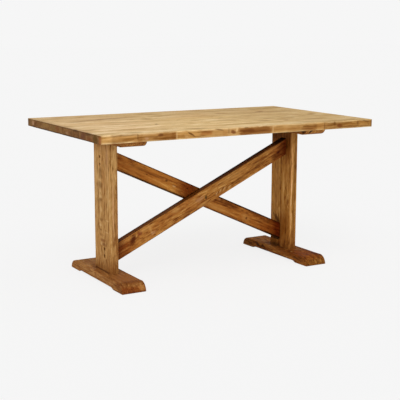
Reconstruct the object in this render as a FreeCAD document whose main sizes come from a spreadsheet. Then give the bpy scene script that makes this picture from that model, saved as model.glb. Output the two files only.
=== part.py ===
import FreeCAD, Part
import math
import os
import Sketcher

# Trestle dining table in solid wood.
# X runs along the table, Y from the front to the rear, Z up from the floor.
# The origin is on the floor, below the middle of the top.

SIZES = {
    # top
    "table_height": 760,
    "top_length": 1500,
    "top_thickness": 38,
    "top_board_width": 145,
    "top_edge_round": 5,
    "top_corner_round": 12,
    # posts, each of two boards; the top reaches past their outer faces by the overhang
    "top_end_overhang": 204,
    "post_thickness": 44,
    "post_board_width": 87,
    "post_arris": 3,
    "tenon_thickness": 22,
    "tenon_width": 58,
    "mortise_floor": 17,
    "mortise_gap": 0.2,
    # feet
    "foot_length": 596,
    "foot_width": 126,
    "foot_thickness": 44,
    "foot_pad_length": 96,
    "foot_relief_depth": 8,
    "foot_relief_slope": 24,
    "foot_arris": 3,
    # bearers, which sit a little nearer the middle of the table than the posts
    "bearer_length": 596,
    "bearer_width": 120,
    "bearer_thickness": 43,
    "bearer_inset": 16,
    "bearer_arris": 2.5,
    # rounded ends of the feet and bearers
    "timber_end_run": 46,
    # braces
    "brace_width": 80,
    "brace_thickness": 42,
    "brace_end_gap": 42,
    "brace_arris": 2.5,
    # dowels
    "dowel_diameter": 10,
    "dowel_length": 40,
    "dowel_chamfer": 1,
    "dowel_end_gap": 0.5,
    # wood screws
    "screw_diameter": 8,
    "screw_head_diameter": 13,
    "screw_head_height": 5,
    "screw_tip_length": 8,
    "screw_socket_width": 5,
    "screw_socket_depth": 3.5,
    "screw_recess_diameter": 15,
    "brace_screw_length": 85,
    "brace_screw_depth": 8,
    "brace_screw_spacing": 36,
    "brace_screw_lead": 9,
    "crossing_screw_length": 70,
    "crossing_screw_depth": 8,
    "crossing_screw_offset": 13,
    "post_screw_length": 110,
    "post_screw_depth": 7,
    # bolts of the top
    "bolt_diameter": 8,
    "bolt_length": 52,
    "bolt_head_diameter": 14,
    "bolt_head_height": 5,
    "bolt_socket_width": 5,
    "bolt_socket_depth": 3,
    "bolt_hole_diameter": 11,
    "bolt_recess_diameter": 26,
    "bolt_recess_depth": 10,
    "bolt_row_inner": 115,
    "bolt_row_outer": 217,
    "washer_diameter": 24,
    "washer_thickness": 1.6,
    "insert_diameter": 12,
    "insert_length": 20,
    # fits and cuts
    "fit_gap": 0.1,
    "hole_end_gap": 1,
    "cut_overrun": 5,
}

TOP_BOARD_COUNT = 6
TOP_DOWELS_PER_JOINT = 4
POST_DOWEL_HEIGHT_SHARES = (0.31, 0.5, 0.69)

LEFT = -1
RIGHT = 1


class Size:
    """A length, angle or ratio, held as a number and as the sheet formula that gives it."""

    def __init__(self, value, formula):
        self.value = value
        self.formula = formula

    def __add__(self, other):
        other = as_size(other)
        return Size(self.value + other.value, "(%s + %s)" % (self.formula, other.formula))

    def __sub__(self, other):
        other = as_size(other)
        return Size(self.value - other.value, "(%s - %s)" % (self.formula, other.formula))

    def __mul__(self, other):
        other = as_size(other)
        return Size(self.value * other.value, "(%s * %s)" % (self.formula, other.formula))

    def __truediv__(self, other):
        other = as_size(other)
        return Size(self.value / other.value, "(%s / %s)" % (self.formula, other.formula))

    def __neg__(self):
        return Size(-self.value, "(0 - %s)" % self.formula)


def as_size(number):
    if isinstance(number, Size):
        return number
    return Size(float(number), "(%r)" % float(number))


ZERO = as_size(0)


class SizeSheet:
    """The spreadsheet of driving sizes. Each size is read as an attribute."""

    def __init__(self, document, sizes):
        self.sizes = sizes
        sheet = document.addObject("Spreadsheet::Sheet", "sizes")
        for row, (name, value) in enumerate(sizes.items(), start=1):
            sheet.set("A%d" % row, name)
            sheet.set("B%d" % row, str(value))
            sheet.setAlias("B%d" % row, name)

    def __getattr__(self, name):
        return Size(float(self.sizes[name]), "sizes.%s" % name)


doc = FreeCAD.newDocument("trestle_table")
s = SizeSheet(doc, SIZES)
doc.recompute()


# Sizes that follow from the driving ones

bearer_top = s.table_height - s.top_thickness
bearer_bottom = bearer_top - s.bearer_thickness
post_height = bearer_bottom - s.foot_thickness
post_spacing = s.top_length - s.top_end_overhang * 2 - s.post_thickness
inner_span = post_spacing - s.post_thickness
bearer_spacing = post_spacing - s.bearer_inset * 2
foot_tenon_length = s.foot_thickness - s.foot_relief_depth - s.mortise_floor - s.mortise_gap
bearer_tenon_length = s.bearer_thickness - s.mortise_floor - s.mortise_gap
screw_hole_diameter = s.screw_diameter + s.fit_gap * 2
dowel_hole_diameter = s.dowel_diameter + s.fit_gap * 2
dowel_hole_depth = s.dowel_length / 2 + s.dowel_end_gap
insert_hole_diameter = s.insert_diameter + s.fit_gap * 2
bolt_bore_diameter = s.bolt_diameter + s.fit_gap * 2


def brace_slope():
    """Tangent of the braces' angle: their ends keep brace_end_gap from the feet and bearers."""
    rise_with_width = post_height - s.brace_end_gap * 2
    diagonal = math.hypot(rise_with_width.value, inner_span.value)
    angle = math.acos(s.brace_width.value / diagonal) - math.atan2(inner_span.value, rise_with_width.value)
    formula = "tan(acos(%s / sqrt(%s ^ 2 + %s ^ 2)) - atan2(%s; %s))" % (
        s.brace_width.formula,
        rise_with_width.formula,
        inner_span.formula,
        inner_span.formula,
        rise_with_width.formula,
    )
    return Size(math.tan(angle), formula)


slope = brace_slope()
brace_rise = inner_span * slope
brace_end_width = post_height - s.brace_end_gap * 2 - brace_rise
crossing_height = s.foot_thickness + post_height / 2
low_end_height = crossing_height - brace_rise / 2
high_end_height = crossing_height + brace_rise / 2

low_screw_heights = (
    low_end_height + s.brace_screw_lead - s.brace_screw_spacing / 2,
    low_end_height + s.brace_screw_lead + s.brace_screw_spacing / 2,
)
high_screw_heights = (
    high_end_height - s.brace_screw_lead - s.brace_screw_spacing / 2,
    high_end_height - s.brace_screw_lead + s.brace_screw_spacing / 2,
)
bolt_rows = (-s.bolt_row_outer, -s.bolt_row_inner, s.bolt_row_inner, s.bolt_row_outer)


# Sketches and features

def new_body(label):
    body = doc.addObject("PartDesign::Body", label)
    body.Label = label
    return body


def sketch_on(body, name, role, offset=ZERO):
    """A sketch on one of the body's own origin planes, moved along the plane's normal by offset."""
    sketch = body.newObject("Sketcher::SketchObject", "%s_%s" % (body.Name, name))
    plane = [feature for feature in body.Origin.OriginFeatures if feature.Role == role][0]
    sketch.AttachmentSupport = (plane, [""])
    sketch.MapMode = "FlatFace"
    sketch.setExpression("AttachmentOffset.Base.z", offset.formula)
    return sketch


def constrain(sketch, constraint, size):
    index = sketch.addConstraint(constraint)
    sketch.setExpression("Constraints[%d]" % index, size.formula)


def place_point(sketch, geometry, point, across, up):
    constrain(sketch, Sketcher.Constraint("DistanceX", -1, 1, geometry, point, across.value), across)
    constrain(sketch, Sketcher.Constraint("DistanceY", -1, 1, geometry, point, up.value), up)


def arc_between(start, end, radius):
    """The arc from start to end that bulges to the right of that direction."""
    chord = end - start
    across = FreeCAD.Vector(chord.y, -chord.x, 0).normalize()
    rise = radius - math.sqrt(radius ** 2 - (chord.Length / 2) ** 2)
    middle = (start + end) / 2 + across * rise
    return Part.Arc(start, middle, end)


def draw_outline(sketch, corners, arc_radii=None):
    """A closed outline through the corners. arc_radii maps a side's number to its arc's radius."""
    arc_radii = arc_radii or {}
    points = [FreeCAD.Vector(across.value, up.value, 0) for across, up in corners]
    for side, start in enumerate(points):
        end = points[(side + 1) % len(points)]
        if side in arc_radii:
            geometry = arc_between(start, end, arc_radii[side].value)
        else:
            geometry = Part.LineSegment(start, end)
        sketch.addGeometry(geometry, False)
    for side in range(len(points)):
        following = (side + 1) % len(points)
        sketch.addConstraint(Sketcher.Constraint("Coincident", side, 2, following, 1))
    for side, (across, up) in enumerate(corners):
        place_point(sketch, side, 1, across, up)
    for side, radius in arc_radii.items():
        constrain(sketch, Sketcher.Constraint("Radius", side, radius.value), radius)


def draw_rectangle(sketch, left, right, low, high):
    draw_outline(sketch, [(left, low), (right, low), (right, high), (left, high)])


def draw_circles(sketch, centres, diameter):
    for across, up in centres:
        centre = FreeCAD.Vector(across.value, up.value, 0)
        circle = Part.Circle(centre, FreeCAD.Vector(0, 0, 1), diameter.value / 2)
        index = sketch.addGeometry(circle, False)
        place_point(sketch, index, 3, across, up)
        constrain(sketch, Sketcher.Constraint("Diameter", index, diameter.value), diameter)


def pad(body, sketch, length, symmetric=False, reverse=False):
    feature = body.newObject("PartDesign::Pad", sketch.Name + "_pad")
    feature.Profile = sketch
    if symmetric:
        feature.SideType = "Symmetric"
    feature.Reversed = reverse
    feature.setExpression("Length", length.formula)
    sketch.Visibility = False
    return feature


def pocket(body, sketch, depth, reverse=False):
    """Cuts against the sketch's normal, or along it if reverse is set."""
    feature = body.newObject("PartDesign::Pocket", sketch.Name + "_cut")
    feature.Profile = sketch
    feature.Reversed = reverse
    feature.setExpression("Length", depth.formula)
    sketch.Visibility = False
    return feature


def drill(body, name, role, offset, centres, diameter, depth, reverse=False):
    sketch = sketch_on(body, name, role, offset)
    draw_circles(sketch, centres, diameter)
    return pocket(body, sketch, depth, reverse)


def round_edges(body, name, radius, wanted):
    """Rounds each edge of the body so far that the test picks."""
    doc.recompute()
    base = body.Tip
    names = ["Edge%d" % number for number, edge in enumerate(base.Shape.Edges, start=1) if wanted(edge)]
    feature = body.newObject("PartDesign::Fillet", "%s_%s" % (body.Name, name))
    feature.Base = (base, names)
    feature.setExpression("Radius", radius.formula)
    return feature


SAME_PLACE = 1e-4


def edge_at(edge, axis, size):
    """True where the whole edge lies in the plane at that place on the axis."""
    box = edge.BoundBox
    low = getattr(box, axis + "Min")
    high = getattr(box, axis + "Max")
    return abs(low - size.value) < SAME_PLACE and abs(high - size.value) < SAME_PLACE


def edge_along(edge, axis):
    box = edge.BoundBox
    return all(getattr(box, other + "Length") < SAME_PLACE for other in "XYZ" if other != axis)


# Turned and pressed small pieces

TURN_TO = {
    "+X": FreeCAD.Rotation(FreeCAD.Vector(0, 0, 1), FreeCAD.Vector(1, 0, 0)),
    "-X": FreeCAD.Rotation(FreeCAD.Vector(0, 0, 1), FreeCAD.Vector(-1, 0, 0)),
    "+Y": FreeCAD.Rotation(FreeCAD.Vector(0, 0, 1), FreeCAD.Vector(0, 1, 0)),
    "-Y": FreeCAD.Rotation(FreeCAD.Vector(0, 0, 1), FreeCAD.Vector(0, -1, 0)),
    "+Z": FreeCAD.Rotation(),
    "-Z": FreeCAD.Rotation(FreeCAD.Vector(1, 0, 0), 180),
}


def place_at(feature, direction, place):
    """Points the piece's own +Z along direction, with its own origin at place."""
    feature.Placement = FreeCAD.Placement(FreeCAD.Vector(), TURN_TO[direction])
    for axis, size in zip("xyz", place):
        feature.setExpression("Placement.Base.%s" % axis, size.formula)


def cylinder(name, diameter, low, height):
    feature = doc.addObject("Part::Cylinder", name)
    feature.setExpression("Radius", (diameter / 2).formula)
    feature.setExpression("Height", height.formula)
    feature.setExpression("Placement.Base.z", low.formula)
    return feature


def cone(name, low_diameter, high_diameter, low, height):
    feature = doc.addObject("Part::Cone", name)
    feature.setExpression("Radius1", (low_diameter / 2).formula)
    feature.setExpression("Radius2", (high_diameter / 2).formula)
    feature.setExpression("Height", height.formula)
    feature.setExpression("Placement.Base.z", low.formula)
    return feature


def fuse(name, pieces):
    feature = doc.addObject("Part::MultiFuse", name)
    feature.Shapes = pieces
    return feature


def cut(name, base, tool):
    feature = doc.addObject("Part::Cut", name)
    feature.Base = base
    feature.Tool = tool
    return feature


def hex_socket(name, base, width, depth):
    """A hexagonal socket in the flat face at the piece's own z = 0."""
    tool = doc.addObject("Part::Prism", name + "_socket")
    tool.Polygon = 6
    tool.setExpression("Circumradius", "%s / sqrt(3)" % width.formula)
    tool.setExpression("Height", (depth + s.cut_overrun).formula)
    tool.setExpression("Placement.Base.z", (-s.cut_overrun).formula)
    return cut(name, base, tool)


def wood_screw(name, length):
    """Head on the low side, from z = 0, and a tapered tip at the far end of the shank."""
    shank_end = s.screw_head_height + length - s.screw_tip_length
    head = cylinder(name + "_head", s.screw_head_diameter, ZERO, s.screw_head_height)
    shank = cylinder(name + "_shank", s.screw_diameter, ZERO, shank_end)
    tip = cone(name + "_tip", s.screw_diameter, s.screw_diameter / 4, shank_end, s.screw_tip_length)
    turned = fuse(name + "_turned", [head, shank, tip])
    return hex_socket(name, turned, s.screw_socket_width, s.screw_socket_depth)


def machine_bolt(name):
    head = cylinder(name + "_head", s.bolt_head_diameter, ZERO, s.bolt_head_height)
    shank = cylinder(name + "_shank", s.bolt_diameter, ZERO, s.bolt_head_height + s.bolt_length)
    turned = fuse(name + "_turned", [head, shank])
    return hex_socket(name, turned, s.bolt_socket_width, s.bolt_socket_depth)


def ring(name, outer_diameter, inner_diameter, length):
    outside = cylinder(name + "_outside", outer_diameter, ZERO, length)
    inside = cylinder(name + "_inside", inner_diameter, -s.cut_overrun, length + s.cut_overrun * 2)
    return cut(name, outside, inside)


def dowel(name):
    """A dowel centred on its own origin, with chamfered ends."""
    half = s.dowel_length / 2
    narrow = s.dowel_diameter - s.dowel_chamfer * 2
    middle_length = s.dowel_length - s.dowel_chamfer * 2
    low_end = cone(name + "_low", narrow, s.dowel_diameter, -half, s.dowel_chamfer)
    middle = cylinder(name + "_middle", s.dowel_diameter, s.dowel_chamfer - half, middle_length)
    high_end = cone(name + "_high", s.dowel_diameter, narrow, half - s.dowel_chamfer, s.dowel_chamfer)
    return fuse(name, [low_end, middle, high_end])


def group(label, pieces):
    """One node that holds several like pieces as separate solids."""
    feature = doc.addObject("Part::Compound", label)
    feature.Label = label
    feature.Links = pieces
    return feature


# Top

def board_offset(index):
    """Distance of a top board's middle from the middle of the top, to the rear."""
    return s.top_board_width * (index - (TOP_BOARD_COUNT - 1) / 2)


def joint_offset(joint):
    """Place in Y of the glue line behind board number joint."""
    return board_offset(joint) + s.top_board_width / 2


def top_dowel_places():
    spacing = s.top_length / TOP_DOWELS_PER_JOINT
    return [spacing * (number - (TOP_DOWELS_PER_JOINT - 1) / 2) for number in range(TOP_DOWELS_PER_JOINT)]


def make_top_board(index):
    body = new_body("top_board_%d" % (index + 1))
    half_length = s.top_length / 2
    half_width = s.top_board_width / 2
    outline = sketch_on(body, "outline", "XY_Plane")
    draw_rectangle(outline, -half_length, half_length, -half_width, half_width)
    pad(body, outline, s.top_thickness)

    free_sides = []
    glued_sides = []
    (free_sides if index == 0 else glued_sides).append(-half_width)
    (free_sides if index == TOP_BOARD_COUNT - 1 else glued_sides).append(half_width)

    def free_corner(edge):
        return edge_along(edge, "Z") and any(edge_at(edge, "Y", side) for side in free_sides)

    def outer_edge(edge):
        flat = edge_at(edge, "Z", ZERO) or edge_at(edge, "Z", s.top_thickness)
        return flat and not any(edge_at(edge, "Y", side) for side in glued_sides)

    if free_sides:
        round_edges(body, "corners", s.top_corner_round, free_corner)
    round_edges(body, "edges", s.top_edge_round, outer_edge)

    dowel_centres = [(place, s.top_thickness / 2) for place in top_dowel_places()]
    for number, side in enumerate(glued_sides):
        towards_rear = side.value < 0
        drill(body, "dowels_%d" % number, "XZ_Plane", -side, dowel_centres, dowel_hole_diameter,
              dowel_hole_depth, reverse=not towards_rear)

    reach = (s.top_board_width + insert_hole_diameter).value / 2
    rows = [row - board_offset(index) for row in bolt_rows]
    insert_centres = [
        (bearer_spacing / 2 * side, row) for row in rows if abs(row.value) < reach for side in (LEFT, RIGHT)
    ]
    if insert_centres:
        drill(body, "inserts", "XY_Plane", ZERO, insert_centres, insert_hole_diameter,
              s.insert_length + s.hole_end_gap, reverse=True)

    body.setExpression("Placement.Base.y", board_offset(index).formula)
    body.setExpression("Placement.Base.z", bearer_top.formula)
    return body


def make_top_dowels():
    pieces = []
    for joint in range(TOP_BOARD_COUNT - 1):
        for number, place in enumerate(top_dowel_places()):
            piece = dowel("top_dowel_%d_%d" % (joint + 1, number + 1))
            place_at(piece, "+Y", (place, joint_offset(joint), bearer_top + s.top_thickness / 2))
            pieces.append(piece)
    return group("top_board_dowels", pieces)


# Trestles. Each is drawn as the left one and turned half round for the right one.

def place_in_trestle(body, side, distance, height):
    body.Placement = FreeCAD.Placement(
        FreeCAD.Vector(), FreeCAD.Rotation(FreeCAD.Vector(0, 0, 1), 0 if side == LEFT else 180)
    )
    body.setExpression("Placement.Base.x", (distance * side).formula)
    body.setExpression("Placement.Base.z", height.formula)


def timber_profile(length, thickness):
    """Corners of a timber seen along X, with its long face up and its ends rounded towards it."""
    half = length / 2
    return [(half, ZERO), (half - s.timber_end_run, thickness), (s.timber_end_run - half, thickness), (-half, ZERO)]


def end_radius(thickness):
    """Radius of a rounded end that runs smoothly into the timber's long face."""
    run = s.timber_end_run
    return (run * run + thickness * thickness) / (thickness * 2)


def on_side(edge, width):
    return edge_at(edge, "X", width / 2) or edge_at(edge, "X", -(width / 2))


def cut_mortises(body, across, offset, depth, reverse=False):
    """Two mortises, one for each board of the post."""
    for number, side in enumerate((-1, 1)):
        middle = s.post_board_width / 2 * side
        half_width = s.tenon_width / 2 + s.mortise_gap
        half_thickness = s.tenon_thickness / 2 + s.mortise_gap
        sketch = sketch_on(body, "mortise_%d" % number, "XY_Plane", offset)
        draw_rectangle(
            sketch, across - half_thickness, across + half_thickness, middle - half_width, middle + half_width
        )
        pocket(body, sketch, depth, reverse)


def post_screw_centres(across):
    return [(across, s.post_board_width / 2 * side) for side in (-1, 1)]


def make_foot(label, side):
    body = new_body(label)
    outline = sketch_on(body, "outline", "YZ_Plane")
    pad_inner = s.foot_length / 2 - s.foot_pad_length
    relief_end = pad_inner - s.foot_relief_slope
    corners = timber_profile(s.foot_length, s.foot_thickness) + [
        (-pad_inner, ZERO),
        (-relief_end, s.foot_relief_depth),
        (relief_end, s.foot_relief_depth),
        (pad_inner, ZERO),
    ]
    radius = end_radius(s.foot_thickness)
    draw_outline(outline, corners, {0: radius, 2: radius})
    pad(body, outline, s.foot_width, symmetric=True)

    def upper_side_edge(edge):
        return on_side(edge, s.foot_width) and edge.BoundBox.ZMax > s.foot_relief_depth.value + SAME_PLACE

    round_edges(body, "arris", s.foot_arris, upper_side_edge)
    cut_mortises(body, ZERO, s.foot_thickness, foot_tenon_length + s.mortise_gap)
    centres = post_screw_centres(ZERO)
    drill(body, "screw_holes", "XY_Plane", ZERO, centres, screw_hole_diameter, s.foot_thickness, reverse=True)
    drill(body, "screw_recesses", "XY_Plane", ZERO, centres, s.screw_recess_diameter,
          s.foot_relief_depth + s.post_screw_depth, reverse=True)
    place_in_trestle(body, side, post_spacing / 2, ZERO)
    return body


def make_bearer(label, side):
    body = new_body(label)
    outline = sketch_on(body, "outline", "YZ_Plane")
    upright = timber_profile(s.bearer_length, s.bearer_thickness)
    corners = [(-across, s.bearer_thickness - up) for across, up in upright]
    radius = end_radius(s.bearer_thickness)
    draw_outline(outline, corners, {0: radius, 2: radius})
    pad(body, outline, s.bearer_width, symmetric=True)

    def lower_side_edge(edge):
        return on_side(edge, s.bearer_width) and edge.BoundBox.ZMin < s.bearer_thickness.value - SAME_PLACE

    round_edges(body, "arris", s.bearer_arris, lower_side_edge)
    post_across = -s.bearer_inset
    cut_mortises(body, post_across, ZERO, bearer_tenon_length + s.mortise_gap, reverse=True)
    centres = post_screw_centres(post_across)
    drill(body, "screw_holes", "XY_Plane", s.bearer_thickness, centres, screw_hole_diameter, s.bearer_thickness)
    drill(body, "screw_recesses", "XY_Plane", s.bearer_thickness, centres, s.screw_recess_diameter,
          s.post_screw_depth)
    bolt_centres = [(ZERO, row) for row in bolt_rows]
    drill(body, "bolt_holes", "XY_Plane", ZERO, bolt_centres, s.bolt_hole_diameter, s.bearer_thickness,
          reverse=True)
    drill(body, "bolt_recesses", "XY_Plane", ZERO, bolt_centres, s.bolt_recess_diameter, s.bolt_recess_depth,
          reverse=True)
    place_in_trestle(body, side, bearer_spacing / 2, bearer_bottom)
    return body


def post_dowel_heights():
    return [post_height * share for share in POST_DOWEL_HEIGHT_SHARES]


def make_post_board(label, side, is_front_of_left):
    """One board of a post, from its foot's top face to its bearer, with a tenon at each end.

    The front board of the left post holds the low end of a brace, and the rear board the high end.
    """
    body = new_body(label)
    toward = -1 if is_front_of_left else 1
    outer = s.post_board_width * toward
    half_thickness = s.post_thickness / 2
    section = sketch_on(body, "section", "XY_Plane")
    near, far = (outer, ZERO) if is_front_of_left else (ZERO, outer)
    draw_rectangle(section, -half_thickness, half_thickness, near, far)
    pad(body, section, post_height)

    def outer_arris(edge):
        return edge_along(edge, "Z") and edge_at(edge, "Y", outer)

    round_edges(body, "arris", s.post_arris, outer_arris)

    middle = outer / 2
    tenon_ends = ((ZERO, foot_tenon_length, True), (post_height, bearer_tenon_length, False))
    for number, (offset, length, downward) in enumerate(tenon_ends):
        sketch = sketch_on(body, "tenon_%d" % number, "XY_Plane", offset)
        draw_rectangle(sketch, -s.tenon_thickness / 2, s.tenon_thickness / 2,
                       middle - s.tenon_width / 2, middle + s.tenon_width / 2)
        pad(body, sketch, length, reverse=downward)

    # pilot holes in the end grain
    foot_side_length = s.foot_thickness - s.foot_relief_depth - s.post_screw_depth - foot_tenon_length
    foot_pilot = s.post_screw_length - foot_side_length + s.hole_end_gap
    drill(body, "foot_pilot", "XY_Plane", -foot_tenon_length, [(ZERO, middle)], screw_hole_diameter,
          foot_pilot, reverse=True)
    bearer_side_length = s.bearer_thickness - s.post_screw_depth - bearer_tenon_length
    bearer_pilot = s.post_screw_length - bearer_side_length + s.hole_end_gap
    drill(body, "bearer_pilot", "XY_Plane", post_height + bearer_tenon_length, [(ZERO, middle)],
          screw_hole_diameter, bearer_pilot)

    # screws into the end of the brace, from the outer face of the post
    heights = low_screw_heights if is_front_of_left else high_screw_heights
    brace_middle = s.brace_thickness / 2 * toward
    centres = [(brace_middle, height - s.foot_thickness) for height in heights]
    drill(body, "brace_screws", "YZ_Plane", -half_thickness, centres, screw_hole_diameter,
          s.post_thickness, reverse=True)
    drill(body, "brace_screw_recesses", "YZ_Plane", -half_thickness, centres, s.screw_recess_diameter,
          s.brace_screw_depth, reverse=True)

    dowel_centres = [(ZERO, height) for height in post_dowel_heights()]
    drill(body, "dowels", "XZ_Plane", ZERO, dowel_centres, dowel_hole_diameter, dowel_hole_depth,
          reverse=is_front_of_left)
    place_in_trestle(body, side, post_spacing / 2, s.foot_thickness)
    return body


def make_post_dowels():
    pieces = []
    for side, word in ((LEFT, "left"), (RIGHT, "right")):
        for number, height in enumerate(post_dowel_heights()):
            piece = dowel("post_dowel_%s_%d" % (word, number + 1))
            place_at(piece, "+Y", (post_spacing / 2 * side, ZERO, s.foot_thickness + height))
            pieces.append(piece)
    return group("post_board_dowels", pieces)


# Braces. The rear one is the front one turned half round.

def make_brace(label, is_front):
    body = new_body(label)
    half_span = inner_span / 2
    half_end = brace_end_width / 2
    outline = sketch_on(body, "outline", "XZ_Plane")
    draw_outline(outline, [
        (-half_span, low_end_height - half_end),
        (half_span, high_end_height - half_end),
        (half_span, high_end_height + half_end),
        (-half_span, low_end_height + half_end),
    ])
    pad(body, outline, s.brace_thickness)

    def long_arris(edge):
        on_face = edge_at(edge, "Y", ZERO) or edge_at(edge, "Y", -s.brace_thickness)
        return on_face and edge.BoundBox.XLength > SAME_PLACE

    round_edges(body, "arris", s.brace_arris, long_arris)

    end_pilot = s.brace_screw_depth + s.brace_screw_length - s.post_thickness + s.hole_end_gap
    for name, offset, heights, reverse in (
        ("low_pilots", -half_span, low_screw_heights, True),
        ("high_pilots", half_span, high_screw_heights, False),
    ):
        centres = [(-(s.brace_thickness / 2), height) for height in heights]
        drill(body, name, "YZ_Plane", offset, centres, screw_hole_diameter, end_pilot, reverse)

    own_screw = [(s.crossing_screw_offset, crossing_height)]
    other_screw = [(-s.crossing_screw_offset, crossing_height)]
    drill(body, "crossing_hole", "XZ_Plane", s.brace_thickness, own_screw, screw_hole_diameter,
          s.brace_thickness)
    drill(body, "crossing_recess", "XZ_Plane", s.brace_thickness, own_screw, s.screw_recess_diameter,
          s.crossing_screw_depth)
    pilot = s.crossing_screw_depth + s.crossing_screw_length - s.brace_thickness + s.hole_end_gap
    drill(body, "crossing_pilot", "XZ_Plane", ZERO, other_screw, screw_hole_diameter, pilot, reverse=True)

    body.Placement = FreeCAD.Placement(
        FreeCAD.Vector(), FreeCAD.Rotation(FreeCAD.Vector(0, 0, 1), 0 if is_front else 180)
    )
    return body


# Screws, bolts, washers and inserts. A piece's own origin is at the outer face of its head.

def make_brace_screws(word, side):
    """Four screws, driven from the outer face of one post into the ends of both braces."""
    direction = "+X" if side == LEFT else "-X"
    outer_face = (post_spacing + s.post_thickness) / 2
    head_face = outer_face - s.brace_screw_depth + s.screw_head_height
    pieces = []
    for heights, toward in ((low_screw_heights, side), (high_screw_heights, -side)):
        for height in heights:
            piece = wood_screw("%s_brace_screw_%d" % (word, len(pieces) + 1), s.brace_screw_length)
            place_at(piece, direction, (head_face * side, s.brace_thickness / 2 * toward, height))
            pieces.append(piece)
    return group("%s_brace_screws" % word, pieces)


def make_crossing_screws():
    """One screw from the front and one from the rear, beside each other."""
    head_face = s.brace_thickness - s.crossing_screw_depth + s.screw_head_height
    pieces = []
    for word, direction, toward in (("front", "+Y", -1), ("rear", "-Y", 1)):
        piece = wood_screw("crossing_screw_%s" % word, s.crossing_screw_length)
        place_at(piece, direction, (-(s.crossing_screw_offset * toward), head_face * toward, crossing_height))
        pieces.append(piece)
    return group("crossing_screws", pieces)


def make_foot_screws(word, side):
    """Two screws, driven up through one foot into the end grain of its post."""
    head_face = s.foot_relief_depth + s.post_screw_depth - s.screw_head_height
    pieces = []
    for number, (across, along) in enumerate(post_screw_centres(post_spacing / 2 * side)):
        piece = wood_screw("%s_foot_screw_%d" % (word, number + 1), s.post_screw_length)
        place_at(piece, "+Z", (across, along, head_face))
        pieces.append(piece)
    return group("%s_foot_screws" % word, pieces)


def make_bearer_screws(word, side):
    """Two screws, driven down through one bearer into the end grain of its post."""
    head_face = bearer_top - s.post_screw_depth + s.screw_head_height
    pieces = []
    for number, (across, along) in enumerate(post_screw_centres(post_spacing / 2 * side)):
        piece = wood_screw("%s_bearer_screw_%d" % (word, number + 1), s.post_screw_length)
        place_at(piece, "-Z", (across, along, head_face))
        pieces.append(piece)
    return group("%s_bearer_screws" % word, pieces)


def make_top_fasteners(word, side):
    """Bolts, washers and inserts that hold the top on one bearer."""
    recess_face = bearer_bottom + s.bolt_recess_depth
    across = bearer_spacing / 2 * side
    bolts = []
    washers = []
    inserts = []
    for number, row in enumerate(bolt_rows, start=1):
        bolt = machine_bolt("%s_top_bolt_%d" % (word, number))
        place_at(bolt, "+Z", (across, row, recess_face - s.washer_thickness - s.bolt_head_height))
        bolts.append(bolt)
        washer = ring("%s_top_washer_%d" % (word, number), s.washer_diameter, bolt_bore_diameter,
                      s.washer_thickness)
        place_at(washer, "+Z", (across, row, recess_face - s.washer_thickness))
        washers.append(washer)
        insert = ring("%s_top_insert_%d" % (word, number), s.insert_diameter, bolt_bore_diameter,
                      s.insert_length)
        place_at(insert, "+Z", (across, row, bearer_top))
        inserts.append(insert)
    return [
        group("%s_top_bolts" % word, bolts),
        group("%s_top_washers" % word, washers),
        group("%s_top_inserts" % word, inserts),
    ]


# Build

nodes = [make_top_board(index) for index in range(TOP_BOARD_COUNT)]
nodes.append(make_top_dowels())
for side, word in ((LEFT, "left"), (RIGHT, "right")):
    nodes.append(make_foot("%s_foot" % word, side))
    nodes.append(make_bearer("%s_bearer" % word, side))
    nodes.append(make_brace_screws(word, side))
    nodes.append(make_foot_screws(word, side))
    nodes.append(make_bearer_screws(word, side))
    nodes.extend(make_top_fasteners(word, side))
nodes.append(make_post_board("left_post_front_board", LEFT, True))
nodes.append(make_post_board("left_post_rear_board", LEFT, False))
nodes.append(make_post_board("right_post_rear_board", RIGHT, True))
nodes.append(make_post_board("right_post_front_board", RIGHT, False))
nodes.append(make_post_dowels())
nodes.append(make_brace("front_brace", True))
nodes.append(make_brace("rear_brace", False))
nodes.append(make_crossing_screws())
doc.recompute()


# Check and write

def check_document():
    for item in doc.Objects:
        if "Invalid" in item.State or "Error" in item.State:
            raise RuntimeError("%s did not build: %s" % (item.Name, item.State))
        if item.TypeId == "PartDesign::Pocket":
            removed = item.BaseFeature.Shape.Volume - item.Shape.Volume
            if removed <= 0:
                raise RuntimeError("%s cuts nothing" % item.Name)
    for node in nodes:
        if node.Shape.isNull() or not node.Shape.isValid():
            raise RuntimeError("%s has no valid shape" % node.Label)


check_document()
os.makedirs("parts", exist_ok=True)
for node in nodes:
    node.Shape.exportStep("parts/%s.step" % node.Label)
    box = node.Shape.BoundBox
    print("%-24s solids %2d  volume %11.1f  box %8.1f %8.1f %8.1f  %8.1f %8.1f %8.1f" % (
        node.Label, len(node.Shape.Solids), node.Shape.Volume,
        box.XMin, box.YMin, box.ZMin, box.XMax, box.YMax, box.ZMax,
    ))
print("brace slope %.4f  end heights %.1f %.1f" % (slope.value, low_end_height.value, high_end_height.value))
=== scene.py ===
import math
from dataclasses import dataclass
from itertools import product

import bpy
from mathutils import Matrix, Vector, noise


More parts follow.
